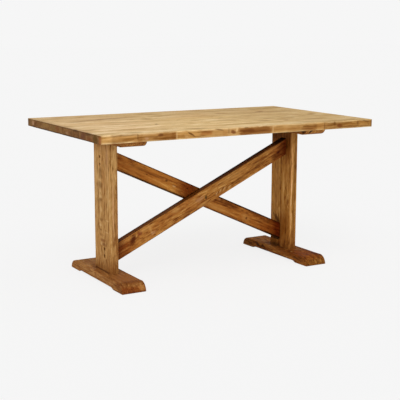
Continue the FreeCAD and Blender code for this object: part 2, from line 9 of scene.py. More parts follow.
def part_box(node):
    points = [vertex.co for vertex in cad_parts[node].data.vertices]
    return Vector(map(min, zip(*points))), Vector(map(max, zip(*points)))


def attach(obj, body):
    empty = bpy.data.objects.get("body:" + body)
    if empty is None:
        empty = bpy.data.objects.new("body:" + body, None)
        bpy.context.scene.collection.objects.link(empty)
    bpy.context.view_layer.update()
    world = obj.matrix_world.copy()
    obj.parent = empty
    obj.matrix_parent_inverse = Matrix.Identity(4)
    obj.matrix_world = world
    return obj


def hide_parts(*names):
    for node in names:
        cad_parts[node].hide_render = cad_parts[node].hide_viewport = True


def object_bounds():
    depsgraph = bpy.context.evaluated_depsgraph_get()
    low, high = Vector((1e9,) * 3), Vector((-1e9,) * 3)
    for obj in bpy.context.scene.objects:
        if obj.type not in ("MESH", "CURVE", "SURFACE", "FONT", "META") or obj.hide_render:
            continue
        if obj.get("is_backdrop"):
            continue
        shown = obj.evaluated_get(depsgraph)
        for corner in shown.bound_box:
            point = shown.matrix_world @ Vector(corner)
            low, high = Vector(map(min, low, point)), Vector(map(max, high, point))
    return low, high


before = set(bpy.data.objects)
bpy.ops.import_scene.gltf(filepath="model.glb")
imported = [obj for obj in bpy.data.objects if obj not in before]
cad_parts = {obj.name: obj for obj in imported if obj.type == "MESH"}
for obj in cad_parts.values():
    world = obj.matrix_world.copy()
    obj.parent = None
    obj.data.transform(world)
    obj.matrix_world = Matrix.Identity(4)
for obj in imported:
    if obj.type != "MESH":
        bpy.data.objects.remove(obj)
cad_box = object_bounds()

# Trestle dining table in oiled softwood.
# X runs along the table, Y from the front to the rear, Z up from the floor.
# Lengths are in metres, apart from the places and sizes of the marks on the wood, which are in millimetres.

X, Y, Z = AXES = range(3)
LEFT, RIGHT = -1, 1
FRONT, REAR = -1, 1
MM = 0.001
BODY = "root"
SIDES = ((LEFT, "left"), (RIGHT, "right"))
FLAT = (0, 0, 0)


# Worn timber blocks

EDGE_ROW_SHARES = (0, 0.35, 0.7, 1.05, 1.7)
EDGE_LEAST, EDGE_MOST = 0.6, 1.5
EDGE_WAVE_SCALE = 1.7
EDGE_WAVE_SHIFT = Vector((3, 1, 4))
WAVE_FREQUENCIES = ((5.0, 0.7), (17.0, 0.3))
WAVE_GAIN = 0.85
WORKED_SHARE = 0.45
WORKED_REACH = 60 * MM
NEARLY_NOTHING = MM * MM


def between(value, least, most):
    return min(max(value, least), most)


def rows(low, high, spacing, edge):
    """Places of the mesh rows along one axis, close together where the block's edges are rounded."""
    near = [edge * share for share in EDGE_ROW_SHARES]
    inner_low = low + near[-1]
    inner_length = high - low - near[-1] * 2
    count = max(1, round(inner_length / spacing))
    middle = [inner_low + inner_length * number / count for number in range(count + 1)]
    return [low + place for place in near[:-1]] + middle + [high - place for place in reversed(near[:-1])]


def block(low, high, spacing, edge):
    """Points and faces of a closed block."""
    places = [rows(low[axis], high[axis], spacing[axis], edge) for axis in AXES]
    last = [len(line) - 1 for line in places]
    numbers = {}
    points = []
    faces = []

    def point(key):
        if key not in numbers:
            numbers[key] = len(points)
            points.append(Vector([places[axis][key[axis]] for axis in AXES]))
        return numbers[key]

    for axis in AXES:
        across, up = (axis + 1) % 3, (axis + 2) % 3
        for side, i, j in product((0, last[axis]), range(last[across]), range(last[up])):
            face = []
            for di, dj in ((0, 0), (1, 0), (1, 1), (0, 1)):
                key = [0, 0, 0]
                key[axis], key[across], key[up] = side, i + di, j + dj
                face.append(point(tuple(key)))
            faces.append(face if side else face[::-1])
    return points, faces


def wave(place):
    """Slow uneven wave from 0 to 1."""
    total = sum(noise.noise(place * frequency) * share for frequency, share in WAVE_FREQUENCIES)
    return between(0.5 + WAVE_GAIN * total, 0, 1)


def soften(point, low, high, radius, square):
    """The point on the block's rounded edges. A side in square, given as (axis, side), keeps its edges."""
    inner = Vector()
    for axis in AXES:
        least = low[axis] + (0 if (axis, -1) in square else radius)
        most = high[axis] - (0 if (axis, 1) in square else radius)
        inner[axis] = between(point[axis], least, most)
    away = point - inner
    if away.length < NEARLY_NOTHING:
        return point
    return inner + away * (max(abs(part) for part in away) / away.length)


def hand_worked(point, low, high, depth, square):
    """The point after each side has sunk inward by an uneven wave, as planing by hand leaves it."""
    moved = point.copy()
    for axis in AXES:
        reach = min((high[axis] - low[axis]) * WORKED_SHARE, WORKED_REACH)
        for side, limit in ((-1, low[axis]), (1, high[axis])):
            fade = 1 - abs(point[axis] - limit) / reach
            if (axis, side) in square or fade <= 0 or not depth[axis]:
                continue
            # each side takes its wave from its own level of the noise
            level = point.copy()
            level[axis] = 7 + side * 3 + axis
            moved[axis] -= side * depth[axis] * wave(level) * fade ** 2
    return moved


def worn_timber(low, high, spacing, edge, depth, square=(), bend=None):
    """A block with rounded, unevenly worn edges. bend moves each point on to the timber's own shape."""
    points, faces = block(low, high, spacing, edge * EDGE_MOST)
    shaped = []
    for point in points:
        wear = wave(point * EDGE_WAVE_SCALE + EDGE_WAVE_SHIFT)
        moved = soften(point, low, high, edge * (EDGE_LEAST + (EDGE_MOST - EDGE_LEAST) * wear), square)
        moved = hand_worked(moved, low, high, depth, square)
        shaped.append(bend(moved) if bend else moved)
    return shaped, faces


# Round recesses

SEGMENTS = 28
RECESS_FLARE = 0.7 * MM
CUTTER_OUTSIDE = 5 * MM
SCREW_RECESS_RADIUS = 7.5 * MM


def recess_cutter(place, inward, depth, radius=SCREW_RECESS_RADIUS):
    """A cylinder that reaches depth inward from place, and widens at the mouth."""
    side = inward.orthogonal().normalized()
    other = inward.cross(side)
    wide = radius + RECESS_FLARE * 2
    profile = [(depth, radius), (RECESS_FLARE, radius), (-RECESS_FLARE, wide), (-CUTTER_OUTSIDE, wide)]
    points = []
    faces = []
    for reach, size in profile:
        for number in range(SEGMENTS):
            angle = math.tau * number / SEGMENTS
            points.append(place + inward * reach + (side * math.cos(angle) + other * math.sin(angle)) * size)
    for ring in range(len(profile) - 1):
        start = ring * SEGMENTS
        for number in range(SEGMENTS):
            following = (number + 1) % SEGMENTS
            faces.append([start + number, start + SEGMENTS + number,
                          start + SEGMENTS + following, start + following])
    faces.append(list(range(SEGMENTS)))
    faces.append([len(points) - SEGMENTS + number for number in range(SEGMENTS)][::-1])
    return points, faces


def mesh_object(name, points, faces):
    mesh = bpy.data.meshes.new(name)
    mesh.from_pydata([tuple(point) for point in points], [], faces)
    mesh.update()
    made = bpy.data.objects.new(name, mesh)
    bpy.context.scene.collection.objects.link(made)
    return made


def cut_recesses(piece, cutters):
    points = []
    faces = []
    for cutter_points, cutter_faces in cutters:
        start = len(points)
        points += cutter_points
        faces += [[start + number for number in face] for face in cutter_faces]
    tool = mesh_object("recess_tool", points, faces)
    modifier = piece.modifiers.new("recesses", "BOOLEAN")
    modifier.operation = "DIFFERENCE"
    modifier.solver = "EXACT"
    modifier.object = tool
    graph = bpy.context.evaluated_depsgraph_get()
    piece.data = bpy.data.meshes.new_from_object(piece.evaluated_get(graph))
    piece.modifiers.clear()
    bpy.data.objects.remove(tool)


SHARP_ANGLE = math.radians(38)


def timber_piece(name, node, material, shape, cutters=()):
    """A finished piece that stands for one CAD node."""
    piece = mesh_object(name, *shape)
    if cutters:
        cut_recesses(piece, cutters)
    piece.data.materials.clear()
    piece.data.materials.append(material)
    piece.data.shade_smooth()
    piece.data.set_sharp_from_angle(angle=SHARP_ANGLE)
    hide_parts(node)
    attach(piece, BODY)
    return piece


def mark_worn_edges(piece, low, high, reach, unbend=None):
    """Writes how near each point is to the timber's long edges, from 0 to 1, as the worn attribute."""
    attribute = piece.data.attributes.new("worn", "FLOAT", "POINT")
    values = []
    for vertex in piece.data.vertices:
        place = unbend(vertex.co.copy()) if unbend else vertex.co
        gaps = sorted(min(place[axis] - low[axis], high[axis] - place[axis]) for axis in AXES)
        values.append(max(0, 1 - max(gaps[1], 0) / reach))
    attribute.data.foreach_set("value", values)


# Shader nodes

def tone(display):
    """A display colour, three parts from 0 to 255, as the renderer's own linear colour."""
    shares = [part / 255 for part in display]
    return (*[share / 12.92 if share <= 0.04045 else ((share + 0.055) / 1.055) ** 2.4 for share in shares], 1)


class Shader:
    """The nodes of one material, or of the world."""

    def __init__(self, owner):
        owner.use_nodes = True
        self.owner = owner
        self.nodes = owner.node_tree.nodes
        self.links = owner.node_tree.links
        self.nodes.clear()

    def node(self, kind, inputs=None, **settings):
        made = self.nodes.new("ShaderNode" + kind)
        for name, value in settings.items():
            setattr(made, name, value)
        for socket, value in (inputs or {}).items():
            if isinstance(value, bpy.types.NodeSocket):
                self.links.new(value, made.inputs[socket])
            else:
                made.inputs[socket].default_value = value
        return made

    def math(self, operation, *values):
        return self.node("Math", dict(enumerate(values)), operation=operation).outputs[0]

    def vector(self, operation, *values):
        return self.node("VectorMath", dict(enumerate(values)), operation=operation)

    def noise(self, vector, scale, detail=2.0, roughness=0.5, distortion=0.0, shift=FLAT):
        place = self.vector("MULTIPLY_ADD", vector, scale, shift).outputs[0]
        inputs = {"Vector": place, "Scale": 1.0, "Detail": detail, "Roughness": roughness,
                  "Distortion": distortion}
        return self.node("TexNoise", inputs).outputs[0]

    def step(self, value, low, high, to_high=1.0, to_low=0.0):
        inputs = {"Value": value, "From Min": low, "From Max": high, "To Min": to_low, "To Max": to_high}
        return self.node("MapRange", inputs, interpolation_type="SMOOTHSTEP").outputs[0]

    def mix(self, share, first, second, blend="MIX"):
        inputs = {0: share, 6: first, 7: second}
        return self.node("Mix", inputs, data_type="RGBA", blend_type=blend).outputs[2]

    def shade(self, share, colour, tint):
        """The colour multiplied by tint, three parts, where share is 1."""
        return self.mix(share, colour, (*tint, 1), "MULTIPLY")

    def ramp(self, value, stops):
        """A colour between those of three stops, each a position and a display colour."""
        made = self.node("ValToRGB", {0: value})
        made.color_ramp.interpolation = "EASE"
        elements = made.color_ramp.elements
        elements.new(0.5)
        for element, (position, display) in zip(elements, stops):
            element.position = position
            element.color = tone(display)
        return made.outputs[0]

    def shows_background(self):
        """1 for the rays that show the plain background: the camera's, and those in metal and glass."""
        path = self.node("LightPath").outputs
        mirrored = self.math("MAXIMUM", path["Is Glossy Ray"], path["Is Transmission Ray"])
        return self.math("MAXIMUM", path["Is Camera Ray"], mirrored)

    def finish(self, surface, output="OutputMaterial"):
        self.node(output, {0: surface})
        return self.owner


# Marks on the wood and painted shade, with display colours

DARK_KNOT = (74, 38, 12)
RED_KNOT = (112, 56, 20)
# dark colour for dirt, and for painted shade in corners, at joints and under parts
DIRT_AND_SHADE = (46, 22, 6)
LINE = (74, 30, 4)
BLACK = (28, 10, 2)
BROWN = (100, 60, 20)
RED = (92, 40, 10)
OLIVE = (150, 114, 62)
PALE = (226, 186, 128)
PINK = (206, 160, 128)
GOLD = (214, 160, 90)
SCREW_DIRT = (148, 98, 42)
PALE_SCREW_DIRT = (204, 150, 86)


@dataclass
class Spot:
    """A knot, stain, painted shade or stretch of another tone on a timber, placed in the table's own frame.

    size is the half size along X, Y and Z before turn, which is in degrees. softness is the rim's share that
    fades, and ragged is how uneven the rim is. A square one is a block with sharp sides instead of an egg.
    A tint multiplies the timber's colour, so its grain stays. bulge bends the rings round a knot.
    """

    place: tuple
    size: tuple
    colour: tuple
    strength: float = 0.9
    softness: float = 0.45
    ragged: float = 0.35
    turn: tuple = FLAT
    square: bool = False
    tint: bool = False
    bulge: float = 0


def knot(place, size, strength):
    return Spot(place, size, RED_KNOT, strength, bulge=10, ragged=0.45)


def stain(place, size, colour, strength, turn=FLAT, ragged=0.5):
    return Spot(place, size, colour, strength, 0.75, ragged, turn)


def tinted(place, size, tint, softness=0.8, ragged=0.2, strength=1.0, square=False):
    return Spot(place, size, tint, strength, softness, ragged, square=square, tint=True)


def spot_distance(tree, place, spot):
    """Distance from the spot's middle, 1 on its rim."""
    inputs = {"Vector": place, "Location": Vector(spot.place) * MM, "Scale": Vector(spot.size) * MM,
              "Rotation": [math.radians(part) for part in spot.turn]}
    inside = tree.node("Mapping", inputs, vector_type="TEXTURE").outputs[0]
    if not spot.square:
        return tree.vector("LENGTH", inside).outputs["Value"]
    parts = tree.node("SeparateXYZ", {0: tree.vector("ABSOLUTE", inside).outputs[0]}).outputs
    return tree.math("MAXIMUM", tree.math("MAXIMUM", parts[0], parts[1]), parts[2])


def spot_masks(tree, place, grain, spots):
    """Each spot's share at a point, and how far the knots push the rings out."""
    ragged = tree.math("SUBTRACT", tree.noise(grain, (34, 95, 95), 3.0, 0.6), 0.5)
    masks = []
    bulge = 0.0
    for spot in spots:
        distance = spot_distance(tree, place, spot)
        rough = tree.math("MULTIPLY_ADD", ragged, spot.ragged * 4, distance)
        masks.append(tree.step(rough, 1 + spot.softness, 1 - spot.softness, spot.strength))
        if spot.bulge:
            bulge = tree.math("ADD", tree.step(distance, 3.4, 0.3, spot.bulge * MM), bulge)
    return masks, bulge


# Wood

WOOD_SPECULAR = 0.05
WOOD_ROUGHNESS = (0.78, 0.62)
WOOD_BUMP = {"Strength": 0.35, "Distance": 0.8 * MM}
RING_WIDTH = 5.5 * MM
LATE_WOOD_SHARPNESS = 2.2
LATE_WOOD_TONE = -0.16
LATE_WOOD_HEIGHT = 0.35
MIDDLE_TONE = 0.55
TONE_STOPS = (0.14, 0.5, 0.84)
BAND_SCALE = (62, 62, 62)
BAND_WEIGHT = 0.9
SLOW_BEND = 75 * MM
FINE_BEND = 6 * MM
UP_SHADE_SHARE = 0.85
LAYER_SHIFT = 7.3
FIBRE_LAYER = 3
GRAIN_ALONG_X = (0, 0, 0)
GRAIN_ALONG_Y = (0, 0, -math.pi / 2)
GRAIN_ALONG_Z = (0, math.pi / 2, 0)
TOP_LAYERS = ((1.2, 15, 0.9), (6, 24, 0.8), (4, 90, 0.8), (9, 260, 0.5), (2.6, 7, 0.5))
TIMBER_LAYERS = ((1.6, 26, 0.6), (22, 110, 0.9), (4, 120, 0.8), (9, 260, 0.6), (3.2, 9, 0.35))


@dataclass
class Look:
    """How one kind of timber in the table looks.

    The tones are display colours, and the shades multiply the colour. up, when given, is a painted shade
    colour for the upper faces. Each layer is its scale along the grain, its scale across it and its weight.
    """

    dark: tuple
    middle: tuple
    light: tuple
    worn: tuple
    red: tuple
    fleck: float
    worn_share: float = 0.7
    layers: tuple = TIMBER_LAYERS
    end_shade: tuple = (0.6, 0.52, 0.42)
    end_facing: tuple = (0.6, 0.9)
    side_shade: tuple = None
    up: tuple = None


TOP_LOOK = Look((160, 122, 66), (210, 177, 124), (232, 206, 160), (234, 204, 150), (206, 166, 112), 0.14,
                0.95, TOP_LAYERS, (0.35, 0.248, 0.158), (0.25, 0.6), side_shade=(0.78, 0.60, 0.40))
POST_LOOKS = {
    LEFT: Look((131, 83, 35), (196, 148, 88), (226, 187, 128), (206, 154, 90), (172, 116, 58), 0.16),
    RIGHT: Look((122, 70, 20), (184, 127, 57), (214, 163, 94), (198, 146, 84), (160, 99, 38), 0.2),
}
# up is a painted shade colour for the braces' upper faces, which lie in the top's shadow.
BRACE_LOOKS = {
    FRONT: Look((116, 62, 20), (186, 124, 57), (222, 170, 96), (194, 134, 70), (164, 94, 38), 0.2, 0.35,
                up=(104, 58, 18)),
    REAR: Look((124, 66, 20), (188, 122, 53), (218, 160, 84), (194, 130, 62), (168, 96, 36), 0.1, 0.35,
               up=(104, 58, 18)),
}
FOOT_LOOKS = {
    LEFT: Look((92, 50, 16), (141, 90, 42), (176, 126, 72), (150, 98, 48), (130, 74, 30), 0.16, 0.4,
               end_shade=(0.84, 0.62, 0.44)),
    RIGHT: Look((76, 38, 8), (132, 77, 26), (168, 116, 56), (146, 90, 38), (116, 58, 16), 0.2, 0.4,
                end_shade=(0.86, 0.9, 0.78)),
}
BEARER_LOOK = Look((92, 50, 16), (150, 96, 44), (190, 138, 76), (176, 122, 64), (136, 78, 30), 0.2, 0.5,
                   end_shade=(0.95, 0.9, 0.8))


def ring_radius(tree, grain, bulge):
    """Distance from the pith, bent by slow and fine waves and by the knots."""
    slow = tree.math("SUBTRACT", tree.noise(grain, (1.1, 5, 5), 1.0), 0.5)
    fine = tree.math("SUBTRACT", tree.noise(grain, (7, 30, 30)), 0.5)
    across_grain = tree.vector("MULTIPLY", grain, (0, 1, 1)).outputs[0]
    radius = tree.vector("LENGTH", across_grain).outputs["Value"]
    radius = tree.math("MULTIPLY_ADD", slow, SLOW_BEND, radius)
    radius = tree.math("MULTIPLY_ADD", fine, FINE_BEND, radius)
    return tree.math("ADD", radius, bulge)


def grain_tone(tree, grain, radius, look):
    """Tone of the grain from 0, dark, to 1, light, and the height of its late wood and fibres."""
    ring_place = tree.math("FRACT", tree.math("DIVIDE", radius, RING_WIDTH))
    late_wood = tree.math("POWER", ring_place, LATE_WOOD_SHARPNESS)
    band_place = tree.node("CombineXYZ", {0: radius}).outputs[0]
    parts = [(tree.noise(band_place, BAND_SCALE, 3.0, 0.65), BAND_WEIGHT)]
    for number, (along, across, weight) in enumerate(look.layers):
        shift = (number * LAYER_SHIFT, 0, 0)
        parts.append((tree.noise(grain, (along, across, across), 3.0, 0.6, 0.2, shift), weight))
    tone_value = tree.math("MULTIPLY_ADD", late_wood, LATE_WOOD_TONE, MIDDLE_TONE)
    for part, weight in parts:
        tone_value = tree.math("MULTIPLY_ADD", tree.math("SUBTRACT", part, 0.5), weight, tone_value)
    fleck = tree.noise(grain, (24, 120, 120), 1.0)
    dark_fleck = tree.step(fleck, 0.56, 0.68, -look.fleck)
    pale_fleck = tree.step(fleck, 0.42, 0.3, look.fleck * 0.7)
    tone_value = tree.math("ADD", tone_value, tree.math("ADD", dark_fleck, pale_fleck))
    fibre = parts[1 + FIBRE_LAYER][0]
    height = tree.math("MULTIPLY_ADD", fibre, 0.5, tree.math("MULTIPLY", late_wood, LATE_WOOD_HEIGHT))
    return tone_value, height


def timber_material(name, look, turn, shift, spots=()):
    """Oiled wood with its rings round a pith. turn brings the grain to X, and shift moves the pith."""
    tree = Shader(bpy.data.materials.new(name))
    place = tree.node("TexCoord").outputs["Object"]
    grain = tree.node("Mapping", {"Vector": place, "Location": shift, "Rotation": turn}).outputs[0]
    normal = tree.node("NewGeometry").outputs["Normal"]
    normal_parts = tree.node("SeparateXYZ", {0: normal}).outputs

    masks, bulge = spot_masks(tree, place, grain, spots)
    radius = ring_radius(tree, grain, bulge)
    tone_value, height = grain_tone(tree, grain, radius, look)
    colour = tree.ramp(tone_value, zip(TONE_STOPS, (look.dark, look.middle, look.light)))
    blotch = tree.noise(grain, (3.2, 11, 11), 2.0, 0.55)
    colour = tree.mix(tree.step(blotch, 0.48, 0.72, 0.55), colour, tone(look.red))
    pore = tree.noise(grain, (34, 900, 900), 1.0)
    colour = tree.mix(tree.step(pore, 0.62, 0.7, 0.3), colour, tone(look.dark))

    # the sides of the top have gone darker than its face
    if look.side_shade:
        sideways = tree.step(tree.math("ABSOLUTE", normal_parts[1]), 0.5, 0.85)
        colour = tree.shade(sideways, colour, look.side_shade)

    # edges rubbed pale
    rubbed = tree.node("Attribute", attribute_name="worn").outputs["Fac"]
    patchy = tree.noise(grain, (14, 70, 70), 2.0, 0.6)
    rubbed = tree.math("MULTIPLY", rubbed, tree.step(patchy, 0.3, 0.62, look.worn_share, 0.1))
    colour = tree.mix(rubbed, colour, tone(look.worn))

    # end grain drinks more oil
    direction = Matrix.Rotation(-turn[Y], 3, "Y") @ Matrix.Rotation(-turn[Z], 3, "Z") @ Vector((1, 0, 0))
    facing = tree.math("ABSOLUTE", tree.vector("DOT_PRODUCT", normal, direction).outputs["Value"])
    colour = tree.shade(tree.step(facing, *look.end_facing), colour, look.end_shade)

    # painted shade: upper faces lie out of the light under the top, so they are painted darker
    if look.up:
        colour = tree.mix(tree.step(normal_parts[2], 0.5, 0.8, UP_SHADE_SHARE), colour, tone(look.up))

    for spot, mask in zip(spots, masks):
        if spot.tint:
            colour = tree.shade(mask, colour, spot.colour)
        else:
            colour = tree.mix(mask, colour, tone(spot.colour))

    roughness = tree.step(patchy, 0.3, 0.7, *WOOD_ROUGHNESS)
    height = tree.math("MULTIPLY_ADD", patchy, 0.6, height)
    bump = tree.node("Bump", {**WOOD_BUMP, "Height": height}).outputs[0]
    surface = tree.node("BsdfPrincipled", {"Base Color": colour, "Roughness": roughness, "Normal": bump})
    surface.inputs["Specular IOR Level"].default_value = WOOD_SPECULAR
    return tree.finish(surface.outputs[0])


# Top

TOP_SPACING = (10 * MM, 9 * MM, 6 * MM)
TOP_EDGE = 3 * MM
TOP_CORNERS = {LEFT: 9 * MM, RIGHT: 4 * MM}
TOP_DEPTH = (1.0 * MM, 0.8 * MM, 0.2 * MM)
TOP_RUBBED = 8 * MM
TOP_COUNT = 6
PITH_DEPTH = 0.66
PITH_WANDER = 0.05
TOP_FACE = 760
FRONT_FACE = -435
LEFT_END = -750


def round_top_corner(point, low, high):
    """Rounds the top's vertical corners in plan."""
    radius = TOP_CORNERS[RIGHT if point.x > 0 else LEFT]
    inner = Vector((between(point.x, low.x + radius, high.x - radius),
                    between(point.y, low.y + radius, high.y - radius), point.z))
    away = point - inner
    if abs(away.x) < NEARLY_NOTHING or abs(away.y) < NEARLY_NOTHING:
        return point
    return inner + away * (max(abs(away.x), abs(away.y)) / away.length)


def stave(start, end, tint, low=715, high=753, softness=0.3, strength=1.0):
    """A stretch of the top's front edge in another tone, from start to end along X."""
    place = ((start + end) / 2, FRONT_FACE, (low + high) / 2)
    size = ((end - start) / 2, 14, (high - low) / 2)
    return tinted(place, size, tint, softness, 0.22, strength, square=True)


def edge_mark(across, height, half_width, half_height, colour, strength, lean=0):
    """A crack, streak or knot on the top's front edge, leaning to the right by degrees."""
    size = (half_width, 8, half_height)
    return Spot((across, FRONT_FACE, height), size, colour, strength, ragged=0.4, turn=(0, lean, 0))


def face_mark(along, across, half_length, half_width, colour, strength, turn=0):
    """A mark in the top's upper face, turned by degrees."""
    return stain((along, across, TOP_FACE), (half_length, half_width, 30), colour, strength, (0, 0, turn))


def end_mark(across, half_width, colour, strength, height=742, half_height=16):
    """A darker or paler stretch of the top's left end."""
    ragged = 0.15 if half_width < 20 else 0.4
    return Spot((LEFT_END, across, height), (10, half_width, half_height), colour, strength, 0.5, ragged)


DARKER = (0.58, 0.45, 0.33)
BROWNER = (0.78, 0.68, 0.56)
REDDER = (0.84, 0.68, 0.54)
MILD = (0.88, 0.82, 0.74)
PALER = (1.14, 1.13, 1.08)
PALEST = (1.34, 1.42, 1.5)

# start, end, tint, lower side, upper side, softness, strength
STAVES = (
    (-740, -694, PALEST, 715, 765),
    (-672, -580, PALER, 715, 753, 0.3, 0.8),
    (-660, -632, MILD, 715, 745, 0.3, 0.5),
    (-568, -546, BROWNER, 715, 753, 0.5),
    (-546, -475, MILD),
    (-475, -378, BROWNER, 715, 760),
    (-440, -378, MILD, 715, 750, 0.5),
    (-400, -378, BROWNER, 715, 757, 0.5, 0.8),
    (-377, -262, PALER, 715, 765),
    (-250, -192, REDDER, 735),
    (-135, -105, MILD, 715, 745),
    (-40, 138, DARKER, 715, 758, 0.2),
    (-36, 40, MILD, 730, 753, 0.5),
    (152, 222, PALER, 715, 765, 0.3, 0.2),
    (228, 306, MILD, 715, 746),
    (318, 402, BROWNER, 715, 750),
    (402, 446, PALER, 715, 765, 0.3, 0.8),
    (505, 522, MILD, 715, 757, 0.5),
    (524, 560, MILD, 715, 748),
    (566, 650, PALER, 715, 744, 0.3, 0.8),
    (562, 735, PALER, 740, 765, 0.3, 0.9),
    (665, 735, PALER, 715, 753, 0.3, 0.5),
)

# across, height, half width, half height, colour, strength, lean
EDGE_MARKS = (
    (-625, 755, 48, 3, BROWN, 0.3),
    (-568, 746, 3, 14, BROWN, 0.5),
    (-374, 741, 4, 22, PALE, 0.4),
    (-300, 743, 27, 4, BROWN, 0.85, 30),
    (-325, 735, 14, 6, PALE, 0.2, 30),
    (-455, 748, 12, 7, RED, 0.6),
    (-492, 742, 42, 3, BROWN, 0.45),
    (-525, 736, 10, 5, PINK, 0.35),
    (-215, 748, 26, 5, RED_KNOT, 0.35),
    (-150, 755, 24, 3, BROWN, 0.6, 12),
    (-101, 744, 3, 14, BROWN, 0.5),
    (-76, 741, 14, 9, RED_KNOT, 0.8, 20),
    (-57, 750, 6, 9, PALE, 0.85, 20),
    (4, 742, 44, 8, RED, 0.5),
    (-5, 757, 14, 3, BROWN, 0.5),
    (90, 737, 40, 3, RED, 0.4),
    (145, 741, 4, 26, PALE, 0.4),
    (180, 752, 22, 3, BROWN, 0.3),
    (360, 744, 44, 3, BROWN, 0.6),
    (352, 733, 34, 4, RED, 0.45),
    (449, 741, 3, 18, BROWN, 0.5),
    (512, 750, 6, 9, BROWN, 0.6),
    (541, 738, 13, 10, RED_KNOT, 0.65),
    (600, 735, 30, 3, RED, 0.4),
    (656, 748, 6, 8, BROWN, 0.6, 15),
    (708, 753, 20, 3, BROWN, 0.7, 12),
    (724, 740, 3, 10, BROWN, 0.4, -20),
    (746, 738, 5, 18, BROWN, 0.5),
)
FRONT_EDGE_SPOTS = [
    Spot((-749, -434, 736), (7, 8, 17), (154, 94, 52), 0.7, 0.6, square=True),
    *[stave(*row) for row in STAVES],
    *[edge_mark(*row) for row in EDGE_MARKS],
]

# along, across, half length, half width, tint, softness
FACE_TINTS = (
    # painted shade: the first two darken the right end and the rear of the top's face
    (620, -50, 420, 750, (0.84, 0.82, 0.76), 0.7),
    (0, 460, 1200, 280, (0.88, 0.86, 0.84), 0.7),
    (-200, -250, 420, 160, (1.06, 1.07, 1.05), 0.7),
    (-560, -20, 240, 440, (1.04, 1.05, 1.14), 0.7),
    (-530, -220, 200, 90, (1.02, 1.01, 1.04), 0.8),
    (-460, 180, 160, 50, (0.88, 0.85, 0.82), 0.8),
    (620, 340, 140, 90, (1.10, 1.16, 1.22), 0.8),
    (-120, 280, 100, 100, (1.06, 1.09, 1.12), 0.8),
    (-480, 100, 200, 70, (1.05, 1.06, 1.06), 0.8),
    (20, 20, 220, 50, (1.06, 1.06, 1.0), 0.8),
)
# Dark lines along the left end's edges, then broad tones over all the boards. The first two face tints,
# darker to the right and to the rear of the top's face, are painted shade.
ALL_BOARDS_SPOTS = [
    Spot((LEFT_END, -40, 757.5), (6, 380, 3), DIRT_AND_SHADE, 0.4, ragged=0.2, square=True),
    Spot((LEFT_END, -20, 723.5), (6, 400, 3.5), DIRT_AND_SHADE, 0.6, ragged=0.2, square=True),
    tinted((LEFT_END, -280, 740), (8, 160, 30), (0.88, 0.82, 0.84), 0.5),
    tinted((-740, 0, TOP_FACE), (22, 460, 3), (0.84, 0.80, 0.78), 0.8),
    *[tinted((along, across, TOP_FACE), (half_length, half_width, 200), tint, softness)
      for along, across, half_length, half_width, tint, softness in FACE_TINTS],
]

# board, along, across, half length, half width, colour, strength, turn
FACE_MARKS = (
    (1, -245, -383, 46, 20, OLIVE, 0.7),
    (1, -562, -390, 34, 14, OLIVE, 0.7),
    (1, 395, -372, 60, 12, OLIVE, 0.5),
    (1, 655, -385, 42, 16, OLIVE, 0.5),
    (2, 226, -244, 36, 26, OLIVE, 0.7),
    (2, -707, -216, 30, 20, OLIVE, 0.7),
    (2, 505, -268, 70, 12, OLIVE, 0.6),
    (3, -345, -172, 36, 9, BROWN, 0.4),
    (3, 125, -2, 34, 10, BROWN, 0.5, 30),
    (3, 643, -66, 42, 20, OLIVE, 0.75, 40),
    (3, 70, -110, 60, 12, OLIVE, 0.5),
    (4, -250, 106, 26, 34, OLIVE, 0.6),
    (4, -620, 140, 36, 24, BROWN, 0.35),
    (4, -412, 28, 60, 18, OLIVE, 0.35),
    (4, 560, 118, 90, 22, OLIVE, 0.6),
    (5, -470, 190, 150, 15, BROWN, 0.35, 12),
    (5, 470, 168, 46, 16, BROWN, 0.5, 40),
    (5, 236, 182, 36, 20, OLIVE, 0.7),
    (5, -120, 210, 56, 16, OLIVE, 0.5),
    (6, 420, 390, 46, 18, BROWN, 0.4),
    (6, 188, 373, 40, 18, OLIVE, 0.7),
    (6, -107, 306, 44, 16, OLIVE, 0.7),
    (6, -657, 334, 46, 20, OLIVE, 0.6),
    (6, -600, 395, 70, 12, BROWN, 0.3),
)
# board, across, half width, colour, strength, height, half height
END_MARKS = (
    (1, -386, 24, (92, 66, 26), 0.75, 742, 24),
    (1, -330, 28, RED_KNOT, 0.5, 734, 9),
    (1, -310, 46, DIRT_AND_SHADE, 0.4, 754, 7),
    (2, -252, 28, (96, 56, 40), 0.6),
    (2, -226, 12, OLIVE, 0.3, 746, 8),
    (2, -206, 5, BLACK, 0.5),
    (2, -165, 34, BLACK, 0.4, 757, 7),
    (2, -185, 50, BLACK, 0.4, 725, 5),
    (3, -72, 20, PINK, 0.2, 736, 6),
    (3, -100, 16, RED_KNOT, 0.35),
    (3, -126, 16, BLACK, 0.3, 736),
    (3, -70, 60, BLACK, 0.5, 724, 5),
    (3, -20, 14, BROWN, 0.4),
    (4, 96, 40, (112, 84, 40), 0.5),
    (4, 40, 20, RED_KNOT, 0.5),
    (4, 60, 90, BLACK, 0.4, 724, 5),
    (5, 184, 34, OLIVE, 0.5, 748, 10),
    (5, 200, 90, BLACK, 0.45, 724, 5),
    (6, 404, 26, BLACK, 0.2),
    (6, 322, 9, RED, 0.5),
    (6, 356, 12, PINK, 0.45, 742, 12),
    (6, 350, 14, BLACK, 0.6, 727, 5),
)
OTHER_TOP_SPOTS = {
    2: knot((340, -265, TOP_FACE), (14, 10, 60), 0.6),
    3: Spot((-324, -150, TOP_FACE), (44, 8, 30), BROWN, 0.6, 0.6, 0.2, (0, 0, 68)),
}


def top_spots(number):
    spots = list(ALL_BOARDS_SPOTS)
    if number == 1:
        spots += FRONT_EDGE_SPOTS
    spots += [face_mark(*row) for board, *row in FACE_MARKS if board == number]
    if number in OTHER_TOP_SPOTS:
        spots.append(OTHER_TOP_SPOTS[number])
    return spots + [end_mark(*row) for board, *row in END_MARKS if board == number]


